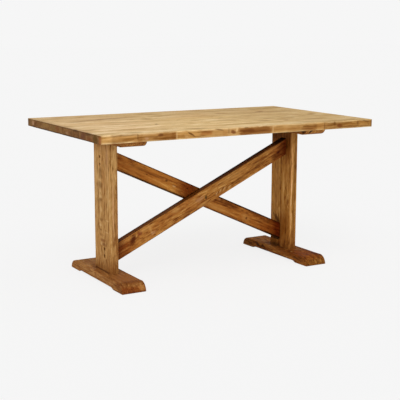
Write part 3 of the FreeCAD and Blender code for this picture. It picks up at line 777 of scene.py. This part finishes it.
def make_top():
    top_low = Vector(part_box("top_board_1")[0])
    top_high = Vector(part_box(f"top_board_{TOP_COUNT}")[1])
    for number in range(1, TOP_COUNT + 1):
        node = f"top_board_{number}"
        low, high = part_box(node)
        square = []
        if number > 1:
            square.append((Y, -1))
        if number < TOP_COUNT:
            square.append((Y, 1))
        shape = worn_timber(low, high, TOP_SPACING, TOP_EDGE, TOP_DEPTH, square,
                            bend=lambda point: round_top_corner(point, top_low, top_high))
        pith_aside = PITH_WANDER * math.sin(number * 2.1) - (low.y + high.y) / 2
        pith_below = -PITH_DEPTH - PITH_WANDER * math.cos(number * 1.3)
        shift = (number * 3.7, pith_aside, pith_below)
        material = timber_material(f"top_wood_{number}", TOP_LOOK, GRAIN_ALONG_X, shift, top_spots(number))
        piece = timber_piece(f"top_plank_{number}", node, material, shape)
        mark_worn_edges(piece, top_low, top_high, TOP_RUBBED)


# Posts

POST_SPACING = (7 * MM, 8 * MM, 12 * MM)
POST_EDGE = 2.6 * MM
POST_DEPTH = (0.5 * MM, 0.5 * MM, 0)
POST_RUBBED = 6 * MM
POST_REACH_INTO = 3 * MM
POST_BOTTOM = 44 * MM
POST_TOP = 679 * MM
POST_HALF_WIDTH = 87 * MM
OUTER_FACE = 546
INNER_FACE = 502
BRACE_THICKNESS = 42
POST_RECESS_DEPTH = 8 * MM
LOW_SCREWS = (121, 157)
HIGH_SCREWS = (566, 602)

# across, up, half width, half height, colour, strength
LEFT_POST_MARKS = (
    (12, 530, 17, 17, BROWN, 0.45),
    (6, 508, 20, 10, BROWN, 0.35),
    (30, 489, 14, 4, PALE, 0.5),
    (12, 466, 18, 14, BROWN, 0.5),
    (20, 436, 9, 6, PALE, 0.45),
    (14, 410, 16, 8, PALE, 0.5),
    (12, 394, 18, 7, BROWN, 0.5),
    (34, 381, 14, 13, BROWN, 0.4),
    (14, 346, 13, 13, PALE, 0.5),
    (12, 296, 15, 8, BROWN, 0.5),
    (20, 268, 12, 6, PALE, 0.5),
    (18, 246, 12, 5, BROWN, 0.5),
    (10, 220, 20, 6, BROWN, 0.35),
    (-6, 196, 27, 8, RED_KNOT, 0.6),
    (-16, 177, 20, 8, RED, 0.6),
    (12, 178, 9, 8, PALE, 0.4),
    (-30, 300, 14, 6, BROWN, 0.25),
    (-58, 300, 16, 3, PALE, 0.4),
    (-52, 242, 16, 3, PALE, 0.4),
)
LEFT_POST_SPOTS = [
    tinted((-546, 0, 560), (80, 200, 90), (1.12, 1.15, 1.18), 0.6),
    tinted((-546, 0, 240), (30, 200, 190), (0.9, 0.87, 0.82), 0.5),
    *[Spot((-546, across, up), (10, half_width, half_height), colour, strength, 0.6, 0.4)
      for across, up, half_width, half_height, colour, strength in LEFT_POST_MARKS],
]
LEFT_FRONT_BOARD_SPOTS = [
    stain((-546, -18, 138), (8, 8, 24), BROWN, 0.4),
    stain((-546, -62, 600), (8, 12, 40), PINK, 0.25),
    stain((-546, -28, 480), (8, 4, 22), PALE, 0.3),
    stain((-546, -80, 120), (8, 7, 50), BROWN, 0.4),
    Spot((-527, -87, 360), (4, 8, 130), (224, 174, 124), 0.5, 0.6, 0.1),
    tinted((-510, -87, 260), (8, 5, 180), (0.8, 0.7, 0.62), 0.5, 0.1),
    tinted((-524, -87, 580), (24, 5, 100), (1.14, 1.2, 1.24), 0.5, 0.1),
]
RIGHT_FRONT_BOARD_SPOTS = [
    stain((502, -2, 360), (6, 1.8, 330), DIRT_AND_SHADE, 0.7, ragged=0.1),
    tinted((502, -40, 160), (30, 70, 120), (0.72, 0.62, 0.5)),
    # painted shade under the top
    tinted((502, -20, 660), (30, 90, 60), (0.5, 0.4, 0.3)),
    knot((502, -66, 300), (20, 8, 14), 0.5),
    # painted shade beside the front brace's end
    tinted((502, -55, 600), (30, 30, 70), (0.5, 0.36, 0.24), strength=0.8),
    tinted((515, -87, 620), (9, 8, 120), (1.42, 1.62, 2.2), 0.5, 0.1),
    tinted((514, -87, 460), (6, 8, 90), (1.5, 1.66, 2.5), 0.6, 0.1),
    tinted((512, -87, 220), (5, 8, 160), (1.36, 1.58, 2.4), 0.6, 0.1),
    Spot((502, 0, 135), (8, 3, 44), BLACK, 0.8, 0.4, 0.15),
    stain((533, -87, 520), (6, 8, 200), BROWN, 0.5, ragged=0.2),
    stain((529, -87, 220), (6, 8, 180), BROWN, 0.6, ragged=0.2),
]


def rear_board_spots(inner):
    """Marks in the inner face of a post's rear board, with painted shade under the top, near the foot and
    under a brace's end.
    """
    return [
        # painted shade under the top
        tinted((inner, 30, 660), (30, 90, 70), (0.36, 0.27, 0.2), 0.7),
        tinted((inner, 40, 380), (14, 26, 100), (1.14, 1.16, 1.2), 0.7),
        # painted shade near the foot, and where the post stands on it
        tinted((inner, 30, 90), (30, 90, 90), (0.56, 0.42, 0.22), 0.7),
        Spot((inner, 35, 46), (8, 60, 12), DIRT_AND_SHADE, 0.6, 0.8, 0.15),
        stain((inner, 32, 196), (8, 34, 10), DARK_KNOT, 0.75, (36, 0, 0)),
        # painted shadow under a brace's end
        Spot((inner, 40, 82), (8, 36, 4), BLACK, 0.85, 0.4, 0.15, square=True),
        Spot((inner, 38, 380), (6, 28, 150), (170, 120, 66), 0.45, 0.4, 0.1),
    ]


def screw_places(side, toward):
    """Middles of the two screw recesses of one post board, in the post's outer face."""
    heights = LOW_SCREWS if side == toward else HIGH_SCREWS
    return [Vector((OUTER_FACE * side, BRACE_THICKNESS / 2 * toward, height)) for height in heights]


def post_spots(side, toward):
    """Marks of one post board, with painted shade at its foot and under the top."""
    outer = OUTER_FACE * side
    screw_tone = SCREW_DIRT if side == toward else PALE_SCREW_DIRT
    spots = [
        *[Spot(place, (14, 10, 9), screw_tone, 0.9, 0.3, 0.12)
          for place in screw_places(side, toward)],
        # painted shade at the post's foot and under the top, and a painted shade line where it stands on the
        # foot
        tinted((outer, 0, 44), (80, 200, 46), (0.62, 0.5, 0.38), 0.9),
        tinted((outer, 50, 700), (80, 150, 50), (0.6, 0.5, 0.42), 0.9),
        Spot((outer, 35, 44), (9, 110, 6), LINE, 0.7, 0.5, 0.3, square=True),
    ]
    if side == LEFT:
        spots += LEFT_POST_SPOTS
    if toward == REAR:
        return spots + rear_board_spots(INNER_FACE * side)
    return spots + (LEFT_FRONT_BOARD_SPOTS if side == LEFT else RIGHT_FRONT_BOARD_SPOTS)


def make_posts():
    for side, word in SIDES:
        for toward, place in ((FRONT, "front"), (REAR, "rear")):
            node = f"{word}_post_{place}_board"
            low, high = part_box(node)
            low.z = POST_BOTTOM - POST_REACH_INTO
            high.z = POST_TOP + POST_REACH_INTO
            square = [(Y, -toward), (Z, -1), (Z, 1)]
            shape = worn_timber(low, high, POST_SPACING, POST_EDGE, POST_DEPTH, square)
            inward = Vector((-side, 0, 0))
            cutters = [recess_cutter(middle * MM, inward, POST_RECESS_DEPTH)
                       for middle in screw_places(side, toward)]
            shift = (1.9 * side + toward, -0.045 * toward + 0.01 * side, 0.60 * side + 0.02 * toward)
            material = timber_material(f"{word}_post_wood_{place}", POST_LOOKS[side], GRAIN_ALONG_Z, shift,
                                       post_spots(side, toward))
            piece = timber_piece(f"{word}_post_{place}_plank", node, material, shape, cutters)
            low.y, high.y = -POST_HALF_WIDTH, POST_HALF_WIDTH
            mark_worn_edges(piece, low, high, POST_RUBBED)


# Feet and bearers

END_RUN = 46 * MM
TIMBER_SPACING = (9 * MM, 9 * MM, 5 * MM)
FOOT_MIDDLE = 524
FOOT_EDGE = 3 * MM
FOOT_DEPTH = (0.7 * MM, 0.5 * MM, 0.4 * MM)
FOOT_RUBBED = 7 * MM
FOOT_PAD_INNER = 202 * MM
FOOT_RELIEF_SLOPE = 24 * MM
FOOT_RELIEF_DEPTH = 8 * MM
FOOT_SCREW_ROWS = (-43.5 * MM, 43.5 * MM)
FOOT_RECESS_DEPTH = 7 * MM
BEARER_EDGE = 2.5 * MM
BEARER_DEPTH = (0.9 * MM, 0.6 * MM, 0.5 * MM)
BEARER_RUBBED = 6 * MM
BOLT_ROWS = (-0.217, -0.115, 0.115, 0.217)
BOLT_RECESS_RADIUS = 13 * MM
BOLT_RECESS_DEPTH = 10 * MM
UPWARD = Vector((0, 0, 1))


def round_end(away, height, half_length, thickness):
    """Moves a point of a block's end on to a quarter round.

    away is along the timber from its middle, and height is above the side with the sharp edge.
    """
    inner = half_length - 2 * END_RUN
    if away <= inner:
        return away, height
    share = (away - inner) / (half_length - inner)
    radius = (END_RUN ** 2 + thickness ** 2) / (2 * thickness)
    least_angle = math.asin((radius - thickness) / radius)
    angle = least_angle + (math.pi / 2 - least_angle) * between(height / thickness, 0, 1)
    end_away = half_length - END_RUN + radius * math.cos(angle)
    end_height = thickness - radius + radius * math.sin(angle)
    return inner + (end_away - inner) * share, height + (end_height - height) * share ** 2


def curved_bend(low, high, relief=0):
    """Shapes a block into a foot with a relief between its two pads, or without one into a bearer.

    The foot's rounded ends face up, and the bearer's face down.
    """
    thickness = high.z - low.z
    base, upward = (low.z, 1) if relief else (high.z, -1)

    def bend(point):
        away, height = round_end(abs(point.y), (point.z - base) * upward, high.y, thickness)
        slope = between((FOOT_PAD_INNER - away) / FOOT_RELIEF_SLOPE, 0, 1)
        lift = relief * slope * slope * (3 - 2 * slope)
        height += lift * (1 - between(height / thickness, 0, 1)) ** 2
        return Vector((point.x, math.copysign(away, point.y), base + height * upward))

    return bend


FOOT_SPOTS = {
    LEFT: [
        Spot((-515, -200, 44), (58, 92, 5), (144, 91, 46), 0.72, 0.3, 0.1),
        Spot((-524, 220, 44), (50, 80, 5), (138, 90, 46), 0.45, 0.4, 0.1),
        stain((-587, -260, 36), (14, 30, 16), RED, 0.45),
        tinted((-524, 200, 44), (70, 100, 20), (1.1, 1.2, 1.3), 0.6),
        stain((-524, -255, 44), (70, 22, 9), RED, 0.5),
        stain((-570, -285, 26), (12, 18, 18), RED_KNOT, 0.5),
        tinted((-550, -295, 22), (34, 14, 26), (0.84, 0.72, 0.62), 0.6),
        stain((-480, -292, 20), (12, 12, 14), GOLD, 0.35),
        stain((-524, -285, 4), (70, 30, 6), RED, 0.6),
        stain((-587, 190, 20), (12, 18, 12), RED_KNOT, 0.45),
        stain((-587, 0, 24), (12, 10, 9), RED_KNOT, 0.4),
        stain((-587, -110, 18), (12, 14, 8), RED_KNOT, 0.45),
        stain((-587, 0, 6), (14, 200, 7), OLIVE, 0.3),
        knot((-545, 205, 44), (12, 16, 20), 0.45),
    ],
    RIGHT: [
        Spot((461, 150, 28), (20, 12, 8), DIRT_AND_SHADE, 0.8, ragged=0.2),
        Spot((461, 101, 30), (20, 12, 8), DIRT_AND_SHADE, 0.85, ragged=0.2),
        Spot((510, 243, 44), (9, 12, 8), DIRT_AND_SHADE, 0.55, ragged=0.2),
        Spot((503, 206, 44), (9, 12, 8), DIRT_AND_SHADE, 0.6, ragged=0.2),
        tinted((524, -200, 44), (80, 90, 14), (0.80, 0.56, 0.18), 0.6),
        tinted((500, 200, 44), (60, 70, 14), (1.24, 1.30, 1.22), 0.6),
        Spot((500, 280, 40), (45, 14, 8), (74, 50, 22), 0.6, 0.8),
        # painted shade, with dirt, where the post's inner face stands on the foot
        Spot((494, 20, 44), (9, 66, 6), DIRT_AND_SHADE, 0.5, 0.8, 0.15),
        Spot((484, -124, 44), (15, 20, 11), LINE, 0.85, ragged=0.2),
        Spot((486, -134, 44), (5, 7, 8), GOLD, 0.5, ragged=0.1),
        stain((461, 270, 20), (40, 30, 40), BROWN, 0.3),
        stain((461, 20, 6), (20, 200, 7), DIRT_AND_SHADE, 0.35),
        stain((500, 145, 44), (10, 20, 6), PALE, 0.2),
        stain((540, -135, 44), (10, 20, 6), BROWN, 0.7),
        stain((500, -292, 24), (7, 14, 20), BROWN, 0.5),
        stain((545, -292, 18), (6, 14, 14), BROWN, 0.45),
    ],
}


def contact_shade(side):
    """Painted shade in the corner where the post stands on the foot."""
    return Spot((FOOT_MIDDLE * side, 0, 44), (24, 89, 5), LINE, 0.7, 0.07, 0.05, square=True)


def make_feet():
    for side, word in SIDES:
        node = word + "_foot"
        low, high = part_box(node)
        low.z = 0
        bend = curved_bend(low, high, FOOT_RELIEF_DEPTH)
        shape = worn_timber(low, high, TIMBER_SPACING, FOOT_EDGE, FOOT_DEPTH, bend=bend)
        middle = FOOT_MIDDLE * side * MM
        cutters = [recess_cutter(Vector((middle, row, FOOT_RELIEF_DEPTH)), UPWARD, FOOT_RECESS_DEPTH)
                   for row in FOOT_SCREW_ROWS]
        shift = (2.3 * side, -0.524 * side + 0.03, 0.07)
        spots = FOOT_SPOTS[side] + [contact_shade(side)]
        material = timber_material(word + "_foot_wood", FOOT_LOOKS[side], GRAIN_ALONG_Y, shift, spots)
        piece = timber_piece(word + "_trestle_foot", node, material, shape, cutters)
        mark_worn_edges(piece, low, high, FOOT_RUBBED)


def bearer_spots(side, inner, middle):
    """Marks of one bearer, with painted shade along its top under the table top, by the places along X of its
    left side and its middle.
    """
    spots = [
        # painted shade along the bearer's top, under the table top
        tinted((middle, 0, 722), (200, 500, 9), (0.42, 0.32, 0.24), strength=1.0 if side == LEFT else 0.55),
        Spot((inner, -180, 719.5), (10, 115, 2.6), DIRT_AND_SHADE, 0.6, 0.5, 0.15, square=True),
    ]
    if side == RIGHT:
        spots += [
            tinted((inner, -200, 704), (200, 200, 14), (1.24, 1.3, 1.16), 0.5),
            # painted shadow by the right bearer's front corner
            Spot((inner, -268, 700), (12, 8, 16), BLACK, turn=(35, 0, 0)),
            Spot((480, -285, 700), (7, 24, 18), BLACK, turn=(0, 35, 0)),
        ]
    return spots


def make_bearers():
    for side, word in SIDES:
        node = word + "_bearer"
        low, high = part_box(node)
        shape = worn_timber(low, high, TIMBER_SPACING, BEARER_EDGE, BEARER_DEPTH, [(Z, 1)],
                            curved_bend(low, high))
        middle = (low.x + high.x) / 2
        cutters = [recess_cutter(Vector((middle, row, low.z)), UPWARD, BOLT_RECESS_DEPTH, BOLT_RECESS_RADIUS)
                   for row in BOLT_ROWS]
        shift = (3.1 * side, -middle + 0.04 * side, -0.62)
        material = timber_material(word + "_bearer_wood", BEARER_LOOK, GRAIN_ALONG_Y, shift,
                                   bearer_spots(side, low.x / MM, middle / MM))
        piece = timber_piece(word + "_top_bearer", node, material, shape, cutters)
        mark_worn_edges(piece, low, high, BEARER_RUBBED)


# Braces

BRACE_HALF_SPAN = 0.502
BRACE_UPRIGHT_WIDTH = 88.06 * MM
BRACE_SPACING = (12 * MM, 7 * MM, 7 * MM)
BRACE_EDGE = 2.4 * MM
BRACE_DEPTH = (0, 0.5 * MM, 0.5 * MM)
BRACE_RUBBED = 5 * MM
BRACE_REACH_INTO = 2 * MM
BRACE_RECESS_DEPTH = 8 * MM
BRACE_SLOPE = 0.4611
CROSSING_HEIGHT = 0.3615
CROSSING_OFFSET = 13
STEEP = (0, -60, 0)

# across, up, half length, colour
RIPPLES = (
    (76, 25, 9, PALE),
    (87, 27, 8, BROWN),
    (98, 27, 11, PALE),
    (110, 26, 9, BROWN),
    (122, 26, 12, PALE),
    (137, 21, 9, BROWN),
    (152, 17, 12, PALE),
)


def brace_marks(toward):
    """Functions for the marks of one brace. Each mark is placed across in X, and up from the lower edge."""
    slope = -BRACE_SLOPE * toward
    along = (0, -math.degrees(math.atan(slope)), 0)
    face = -BRACE_THICKNESS if toward == FRONT else 0
    lower_edge = (CROSSING_HEIGHT - BRACE_UPRIGHT_WIDTH / 2) / MM

    def place(across, up, depth=face):
        return across, depth, lower_edge + slope * across + up

    def mark(across, up, half_length, half_width, colour, strength, turn=along):
        return stain(place(across, up), (half_length, 9, half_width), colour, strength, turn, ragged=0.6)

    def dot(across, up, half_length, half_width, colour, strength):
        size = (half_length, 26, half_width)
        return Spot(place(across, up), size, colour, strength, ragged=0.2, turn=along)

    def shade_strip(start, end, up, half_depth, half_height, colour, strength, depth=face):
        """A painted shade line along an arris of the brace."""
        size = ((end - start) / 2, half_depth, half_height)
        return Spot(place((start + end) / 2, up, depth), size, colour, strength, 0.5, 0.12, along, True)

    return place, mark, dot, shade_strip


def front_brace_spots():
    place, mark, dot, shade_strip = brace_marks(FRONT)
    ripples = [
        Spot(place(across, up), (half_length, 9, 3.4), colour, 0.5, 0.6, 0.15, STEEP)
        for across, up, half_length, colour in RIPPLES
    ]
    return ripples + [
        tinted(place(-452, 36), (66, 60, 44), (0.68, 0.52, 0.42), 0.6),
        Spot(place(-400, 60), (22, 26, 13), (84, 30, 8), 0.85, 0.6, turn=STEEP, bulge=14),
        mark(-403, 44, 16, 9, RED, 0.6, STEEP),
        dot(-364, 68, 15, 10, (132, 66, 34), 0.85),
        mark(-382, 66, 7, 3, GOLD, 0.7, STEEP),
        mark(-455, 34, 30, 3, GOLD, 0.3),
        mark(-450, 74, 38, 9, GOLD, 0.3),
        mark(-347, 76, 16, 7, GOLD, 0.4),
        mark(-329, 72, 30, 12, GOLD, 0.35),
        mark(-305, 54, 5, 28, GOLD, 0.45),
        mark(-290, 30, 16, 6, PINK, 0.3),
        mark(-160, 70, 20, 10, GOLD, 0.6),
        mark(-90, 17, 75, 6, RED, 0.35),
        mark(-240, 60, 16, 4, BROWN, 0.4),
        mark(-196, 56, 14, 4, BROWN, 0.4),
        mark(-23, 49, 24, 9, PINK, 0.3),
        mark(-2, 13, 30, 9, GOLD, 0.4),
        mark(170, 62, 75, 14, GOLD, 0.4),
        mark(205, 26, 45, 4, BROWN, 0.5),
        mark(305, 32, 42, 5, RED, 0.5),
        mark(330, 52, 42, 16, RED, 0.3),
        mark(360, 80, 120, 5, GOLD, 0.3),
        mark(454, 36, 10, 9, (78, 18, 22), 0.95),
        mark(440, 24, 26, 14, RED, 0.7),
        mark(472, 50, 22, 26, RED, 0.5),
        mark(430, 60, 16, 6, GOLD, 0.25),
        # painted shade at the brace's ends by the posts
        tinted((480, -42, 580), (66, 60, 120), (0.70, 0.52, 0.42), 0.7),
        tinted((505, -42, 600), (26, 60, 120), (0.50, 0.26, 0.18)),
        tinted((-500, -42, 130), (36, 60, 120), (0.5, 0.36, 0.26)),
        # painted shade along the brace's arrises, black on the top face towards the right post
        shade_strip(-520, 520, 88, 14, 7, DIRT_AND_SHADE, 0.75, 2),
        shade_strip(60, 430, 90, 40, 6, LINE, 0.6, -30),
        shade_strip(60, 430, 88, 20, 7, BLACK, 0.85, 2),
        shade_strip(425, 530, 90, 60, 7, BLACK, 0.9, -21),
        shade_strip(-520, 0, 0, 60, 3, BROWN, 0.7),
        Spot(place(CROSSING_OFFSET, 44), (9, 12, 9), SCREW_DIRT, 0.9, 0.25, 0.12),
    ]


def rear_brace_spots():
    _, mark, dot, shade_strip = brace_marks(REAR)
    return [
        dot(-303, 43, 6, 4, DARK_KNOT, 0.6),
        dot(-193, 53, 7, 6, DARK_KNOT, 0.7),
        dot(-72, 58, 6, 5, DARK_KNOT, 0.6),
        dot(-149, 41, 11, 4, PALE, 0.5),
        mark(-300, 56, 120, 6, RED, 0.5),
        mark(-470, 62, 30, 20, RED, 0.4),
        mark(168, 66, 74, 12, RED, 0.7),
        mark(118, 74, 6, 4, PINK, 0.4),
        mark(110, 24, 70, 10, GOLD, 0.3),
        mark(285, 36, 22, 18, GOLD, 0.4),
        dot(286, 35, 6, 7, RED, 0.7),
        mark(268, 40, 9, 12, GOLD, 0.5, STEEP),
        mark(367, 46, 26, 6, RED, 0.4),
        mark(420, 66, 40, 10, BROWN, 0.5),
        mark(262, 66, 10, 5, RED, 0.6),
        mark(292, 64, 12, 5, RED, 0.6),
        mark(350, 76, 60, 7, RED, 0.5),
        tinted((300, 0, 240), (200, 60, 200), (0.82, 0.73, 0.64), 0.3),
        tinted((-220, 0, 460), (110, 60, 200), (1.18, 1.22, 1.18), 0.6),
        # painted shade by the right post, and the painted shadow of the front brace where the braces cross
        tinted((470, 0, 140), (110, 60, 140), (0.66, 0.46, 0.30), 0.9),
        tinted((500, 0, 140), (44, 60, 140), (0.44, 0.22, 0.12), 0.6),
        tinted((-65, 0, 400), (52, 60, 100), (0.48, 0.26, 0.16), 0.9),
        # painted shade along the lower and upper arrises, with the shadow below the brace's right end
        shade_strip(-520, -20, 0, 60, 8, BLACK, 0.85),
        shade_strip(-20, 520, 0, 60, 6, DIRT_AND_SHADE, 0.75),
        shade_strip(410, 520, 1, 60, 8, BLACK, 0.85),
        shade_strip(-520, 520, 88, 60, 5, DIRT_AND_SHADE, 0.7),
        shade_strip(60, 520, 88, 60, 7, BLACK, 0.6),
    ]


def make_braces():
    for toward, word, spots in ((FRONT, "front", front_brace_spots()), (REAR, "rear", rear_brace_spots())):
        node = word + "_brace"
        box_low, box_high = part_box(node)
        rise = (box_high.z - box_low.z - BRACE_UPRIGHT_WIDTH) / (BRACE_HALF_SPAN * 2) * -toward
        half_width = BRACE_UPRIGHT_WIDTH / 2
        reach = BRACE_HALF_SPAN + BRACE_REACH_INTO
        low = Vector((-reach, box_low.y, -half_width))
        high = Vector((reach, box_high.y, half_width))

        def raise_to_slope(point, slope=rise):
            return Vector((point.x, point.y, point.z + CROSSING_HEIGHT + slope * point.x))

        def lower_from_slope(point, slope=rise):
            return Vector((point.x, point.y, point.z - CROSSING_HEIGHT - slope * point.x))

        square = [(X, -1), (X, 1), (Y, -toward)]
        shape = worn_timber(low, high, BRACE_SPACING, BRACE_EDGE, BRACE_DEPTH, square, raise_to_slope)
        face = Vector((-CROSSING_OFFSET * toward * MM, BRACE_THICKNESS * toward * MM, CROSSING_HEIGHT))
        cutter = recess_cutter(face, Vector((0, -toward, 0)), BRACE_RECESS_DEPTH)
        shift = (-4.1 * toward, 0.05, -0.30)
        material = timber_material(node + "_wood", BRACE_LOOKS[toward], (0, math.atan(rise), 0), shift, spots)
        piece = timber_piece(word + "_diagonal", node, material, shape, [cutter])
        mark_worn_edges(piece, low, high, BRACE_RUBBED, lower_from_slope)


# Metal and dowels

METAL_BUMP = {"Strength": 0.2, "Distance": 0.2 * MM}
METAL_DARKER = 0.55


def metal_material(name, display, rough_low, rough_high):
    """Machined metal with a worn, uneven coat."""
    tree = Shader(bpy.data.materials.new(name))
    place = tree.node("TexCoord").outputs["Object"]
    patch = tree.noise(place, (420, 420, 420), 3.0, 0.6)
    scratch = tree.noise(place, (300, 300, 3000), 2.0, 0.6)
    colour = tone(display)
    darker = (*[part * METAL_DARKER for part in colour[:3]], 1)
    uneven = tree.mix(tree.step(patch, 0.35, 0.7), colour, darker)
    roughness = tree.step(scratch, 0.3, 0.7, rough_high, rough_low)
    bump = tree.node("Bump", {**METAL_BUMP, "Height": scratch}).outputs[0]
    surface = tree.node("BsdfPrincipled", {"Base Color": uneven, "Roughness": roughness, "Normal": bump})
    surface.inputs["Metallic"].default_value = 1.0
    return tree.finish(surface.outputs[0])


def dress_fasteners():
    """Gives the solids of the fasteners and dowels their materials, by the last word of their names."""
    zinc = metal_material("zinc_plated_steel", (176, 176, 172), 0.28, 0.42)
    materials = {
        "screws": metal_material("browned_screw_steel", (132, 94, 50), 0.4, 0.6),
        "bolts": zinc,
        "washers": zinc,
        "inserts": metal_material("insert_alloy", (184, 176, 152), 0.35, 0.5),
        "dowels": timber_material("dowel_wood", POST_LOOKS[LEFT], GRAIN_ALONG_Y, (0.4, 0.02, 0.03)),
    }
    for node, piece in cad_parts.items():
        word = node.split("_")[-1]
        if word in materials:
            piece.data.materials.clear()
            piece.data.materials.append(materials[word])


# Floor, light and camera

BACKGROUND = tone((246, 246, 246))
WORLD_LIGHT = 0.56
FLOOR_HALF_SIZE = 40
FLOOR_OWN_SHARE = 0.1


def make_floor():
    half = FLOOR_HALF_SIZE
    corners = [Vector((x, y, 0)) for x, y in ((-half, -half), (half, -half), (half, half), (-half, half))]
    floor = mesh_object("floor", corners, [[0, 1, 2, 3]])
    tree = Shader(bpy.data.materials.new("pale_floor"))
    speckle = tree.noise(tree.node("TexCoord").outputs["Object"], (60, 60, 60))
    colour = tree.mix(speckle, tone((243, 243, 243)), tone((247, 247, 247)))
    lit = tree.node("BsdfDiffuse", {"Color": colour}).outputs[0]
    plain = tree.node("Emission", {"Color": BACKGROUND, "Strength": 1.0}).outputs[0]
    seen = tree.node("MixShader", {0: FLOOR_OWN_SHARE, 1: plain, 2: lit}).outputs[0]
    both = tree.node("MixShader", {0: tree.shows_background(), 1: lit, 2: seen}).outputs[0]
    floor.data.materials.append(tree.finish(both))
    floor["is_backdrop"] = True


def make_world():
    world = bpy.data.worlds.new("studio")
    bpy.context.scene.world = world
    tree = Shader(world)
    light = tree.node("Background", {"Color": (1, 1, 1, 1), "Strength": WORLD_LIGHT}).outputs[0]
    shown = tree.node("Background", {"Color": BACKGROUND, "Strength": 1.0}).outputs[0]
    mixed = tree.node("MixShader", {0: tree.shows_background(), 1: light, 2: shown}).outputs[0]
    tree.finish(mixed, "OutputWorld")


def make_sun(name, towards_lamp, strength, spread):
    """Broad light from the direction towards_lamp."""
    light = bpy.data.lights.new(name, "SUN")
    light.energy = strength
    light.angle = math.radians(spread)
    lamp = bpy.data.objects.new(name, light)
    lamp.rotation_mode = "QUATERNION"
    lamp.rotation_quaternion = Vector(towards_lamp).to_track_quat("Z", "Y")
    bpy.context.scene.collection.objects.link(lamp)


CAMERA_PLACE = Vector((-2.4205, -4.1209, 1.2398))
CAMERA_TURNS = ((-30.4464, "Z"), (90 - 10.6187, "X"), (0.2058, "Z"))
FOCAL_SHARE = 952.156 / 400
SENSOR = 36.0
CLIP_END = 200


def make_camera():
    data = bpy.data.cameras.new("camera")
    data.sensor_width = SENSOR
    data.lens = FOCAL_SHARE * SENSOR
    data.clip_end = CLIP_END
    camera = bpy.data.objects.new("camera", data)
    camera.matrix_world = Matrix.Translation(CAMERA_PLACE)
    for angle, axis in CAMERA_TURNS:
        camera.matrix_world = camera.matrix_world @ Matrix.Rotation(math.radians(angle), 4, axis)
    bpy.context.scene.collection.objects.link(camera)
    bpy.context.scene.camera = camera


make_top()
make_posts()
make_feet()
make_bearers()
make_braces()
dress_fasteners()
make_floor()
make_world()
make_sun("key_light", (-0.55, -0.65, 1.0), 1.4, 40)
make_sun("fill_light", (0.6, -0.5, 0.9), 0.35, 70)
make_camera()
bpy.context.scene.view_settings.view_transform = "Standard"

boxes = {"cad": cad_box, "scene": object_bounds()}
{name: [list(corner) for corner in corners] for name, corners in boxes.items()}
